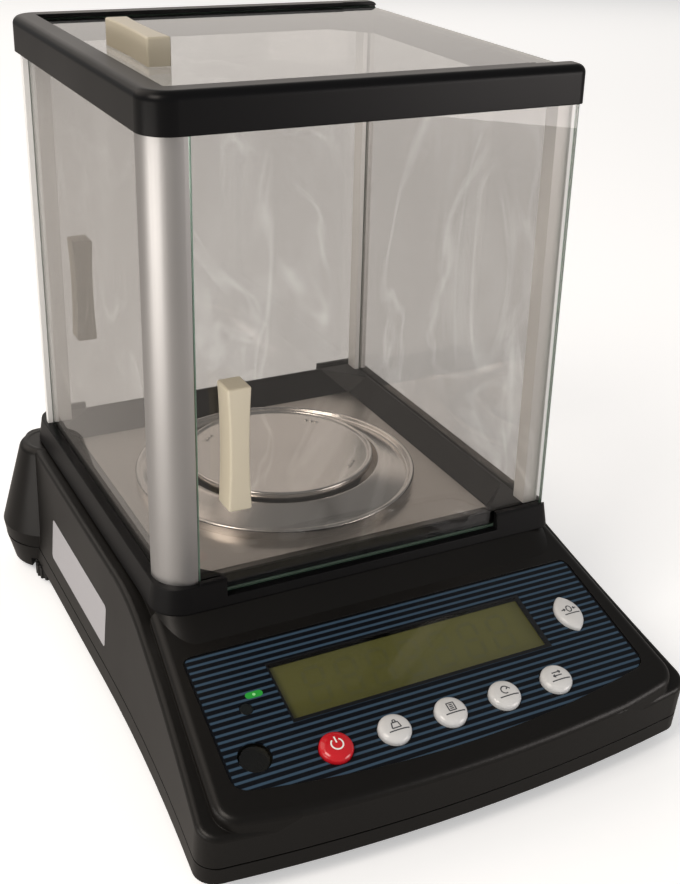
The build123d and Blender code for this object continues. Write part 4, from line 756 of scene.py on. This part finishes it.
# The tape's near-white is painted light on the face behind the glass.
tape_painted_light = moulded("foam_tape_painted_light", "#efe8d6", "#f6f0e0",
                    rough=0.7, shine=0.2, grain=0.6, deep=0.02, edge=0.1)
grip("front_handle", Matrix.Translation(FRONT_GRIP) @ Matrix.Rotation(math.pi / 2, 4, "X"), "front_door")
grip("rear_handle", Matrix.Translation(REAR_GRIP) @ Matrix.Rotation(-math.pi / 2, 4, "X"), "rear_door")
grip("top_handle", Matrix.Translation(TOP_GRIP), "top_door")

# Chamber floor. A sheet of stainless steel, brushed from side to side, that drops into
# the lower frame. The brushing draws reflections out into soft bars.
floor_steel = metal("brushed_stainless_steel", "#cbc5bf", "#d3cdc7",
                    rough=0.32, streaks=(14, 0.35, 0.35), deep=0.002)
dress(floor_steel, "floor_plate")

# Draft ring and pan. Both are pressed and spun from stainless steel sheet, with rolled
# rims. Spinning leaves very fine rings, which turn highlights into bright fans.
SPUN_PITCH, SPUN_DEEP = 0.8, 0.003  # coarser than the real 0.1 mm lines, so that they show
SPUN_CLOUD = 30.0  # size of the slight changes of tone
SHIELD_Y = 39.6  # the pan's axis
spun_steel, tree, where = new_finish("spun_stainless_steel")
centred = add(tree, "ShaderNodeVectorMath", {0: where, 1: [0, SHIELD_Y * MM, 0]}, operation="SUBTRACT")
flat = add(tree, "ShaderNodeVectorMath", {0: centred, 1: [1, 1, 0]}, operation="MULTIPLY")
radius = add(tree, "ShaderNodeVectorMath", {0: flat}, operation="LENGTH").outputs["Value"]
rings_in = add(tree, "ShaderNodeMath", {0: radius, 1: 1 / (SPUN_PITCH * MM)}, operation="MULTIPLY")
lines = add(tree, "ShaderNodeTexNoise", {
    "W": rings_in, "Scale": 1.0, "Detail": 4.0}, noise_dimensions="1D")
broad = add(tree, "ShaderNodeTexNoise", {"Vector": where, "Scale": 1 / (SPUN_CLOUD * MM), "Detail": 3.0})
groove = add(tree, "ShaderNodeBump", {"Height": lines, "Distance": SPUN_DEEP * MM, "Strength": 1.0})
dull = add(tree, "ShaderNodeMapRange", {"Value": lines, "To Min": 0.17, "To Max": 0.26})
lay = add(tree, "ShaderNodeTangent", direction_type="RADIAL", axis="Z")
colour = add(tree, "ShaderNodeMix", {SHARE: broad, LOW: "#ebe7e3", HIGH: "#f2eeea"}, data_type="RGBA")
spun_sheet = add(tree, "ShaderNodeBsdfPrincipled", {
    "Base Color": colour.outputs[MIXED], "Metallic": 1.0, "Roughness": dull,
    "Anisotropic": 0.25, "Tangent": lay, "Normal": groove})
add(tree, "ShaderNodeOutputMaterial", {"Surface": spun_sheet})


def spun(node, profile, body, looped=False, steps=144):
    """Turned piece about the pan's axis, in place of its CAD node. Its profile gives the
    radius and height of each corner."""
    turns = [2 * math.pi * i / steps for i in range(steps)]
    rings = [[(r * math.cos(a), SHIELD_Y + r * math.sin(a), z) for a in turns] for r, z in profile]
    made = mesh_object(f"{node}_steel", *skin(rings, looped))
    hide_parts(node)
    smooth(made, spun_steel, body, 32)


PAN_R, PAN_TOP, PAN_RIM = 44.7, 80.8, 0.95
PAN_UNDER, PAN_SKIRT = 79.6, 78.4  # heights of the sheet's underside and of the rim's foot
HUB_IN, HUB_OUT, HUB_FOOT = 6.0, 9.0, 72.6  # the socket under the pan, which the spindle enters
MIDDLE = 0.05  # a profile starts and ends this near its axis
bead = arc(PAN_R - PAN_RIM, PAN_TOP, PAN_RIM, 0, 165, 14)
pan_profile = [
    (MIDDLE, 79.2), (HUB_IN, 79.2), (HUB_IN, HUB_FOOT + 0.1), (HUB_IN + 0.1, HUB_FOOT),
    (HUB_OUT - 0.1, HUB_FOOT), (HUB_OUT, HUB_FOOT + 0.1), (HUB_OUT, 79.4), (9.2, PAN_UNDER),
    (42.6, PAN_UNDER), (43.2, 79.3), (43.5, 78.5), (43.7, PAN_SKIRT), (44.4, PAN_SKIRT), (PAN_R, 78.7),
    *bead, (42.5, 80.9), (42.1, PAN_TOP + 0.02), (41.4, PAN_TOP), (30.0, PAN_TOP), (MIDDLE, PAN_TOP)]
spun("pan", pan_profile, "pan")

RING_R, RING_IN, RING_Z = 65.0, 47.2, 69.5
RING_ROLL, RING_ROLL_UP = 1.2, 3.6  # radius of the rolled rim, and its middle's height
RING_WALL = 64.0  # inner radius of the outer wall
RING_COLLAR = 78.4  # the ring rises towards the pan, and ends just under its rim
roll = arc(RING_R - RING_ROLL, RING_Z + RING_ROLL_UP, RING_ROLL, 0, 180, 16)
ring_profile = [
    (RING_IN, RING_Z), (RING_IN + 0.9, RING_Z), (RING_IN + 1.0, RING_COLLAR - 1.3), (61.4, 71.1),
    (63.9, 71.4), (RING_WALL, 71.2), (RING_WALL, RING_Z), (RING_R, RING_Z), *roll, (62.35, 72.75),
    (62.0, 72.45), (61.4, 72.3), (49.6, RING_COLLAR - 0.6), (48.4, RING_COLLAR - 0.15),
    (47.7, RING_COLLAR), (47.4, RING_COLLAR - 0.1), (RING_IN, RING_COLLAR - 0.4)]
spun("draft_ring", ring_profile, "draft_ring", looped=True)

# Dimples. Three groups of small bosses are stamped up into the pan near its rim, where it
# rests on the carrier below.
DIMPLE_R, DIMPLE_H, DIMPLE_AT = 1.25, 0.6, 36.5
DIMPLE_GROUPS, DIMPLE_GAP = (40.0, 135.0, 314.0), 4.2  # degrees round the pan
DIMPLE_RINGS, DIMPLE_TIP = 6, 0.02  # rings of each dome, and the radius of the last one
for group, middle in enumerate(DIMPLE_GROUPS):
    for k in range(3):
        a = math.radians(middle + (k - 1) * DIMPLE_GAP)
        cx, cy = DIMPLE_AT * math.cos(a), SHIELD_Y + DIMPLE_AT * math.sin(a)
        dome_rings = []
        for i in range(DIMPLE_RINGS + 1):
            up = math.radians(90 / DIMPLE_RINGS * i)
            ring = arc(cx, cy, max(DIMPLE_TIP, DIMPLE_R * math.cos(up)), 0, 360, 20)[:-1]
            dome_rings.append([(x, y, PAN_TOP + DIMPLE_H * math.sin(up)) for x, y in ring])
        dimple = mesh_object(f"pan_dimple_{group + 1}_{k + 1}", *skin(dome_rings))
        smooth(dimple, spun_steel, "pan", 70)

# Rating label. White paper with a clear film over it, stuck to the left wall. It is left
# blank, and drawn mid grey: painted shade of the dim light on this wall. The wall leans in by
# 4.6 mm over the height from the base to the shield's seat.
LABEL_Y0, LABEL_Y1, LABEL_Z0, LABEL_Z1 = -5.0, 78.8, 25.2, 45.6
LABEL_CORNER, LABEL_LIFT = 2.0, 0.08
WALL_FOOT, WALL_FOOT_Z = 103.0, 9.0  # how far out the wall stands at its foot, and that height
WALL_LEAN = 4.6 / 58.2


def wall_x(z):
    """Just outside of the left wall at one height."""
    return -(WALL_FOOT - WALL_LEAN * (z - WALL_FOOT_Z)) - LABEL_LIFT


def round_rectangle(x0, x1, y0, y1, r, steps=6):
    """Outline of a rectangle with round corners."""
    middles = [(x1 - r, y0 + r), (x1 - r, y1 - r), (x0 + r, y1 - r), (x0 + r, y0 + r)]
    starts = (-90, 0, 90, 180)
    return [p for (x, y), start in zip(middles, starts) for p in arc(x, y, r, start, start + 90, steps)]


label_outline = round_rectangle(LABEL_Y0, LABEL_Y1, LABEL_Z0, LABEL_Z1, LABEL_CORNER)
label_face = tuple(reversed(range(len(label_outline))))
label = mesh_object("blank_label", [(wall_x(z), y, z) for y, z in label_outline], [label_face])
# Mid grey: painted shade on white paper.
label.data.materials.append(ink("coated_label_paper", "#a5a4a8", 0.3))
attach(label, "balance")
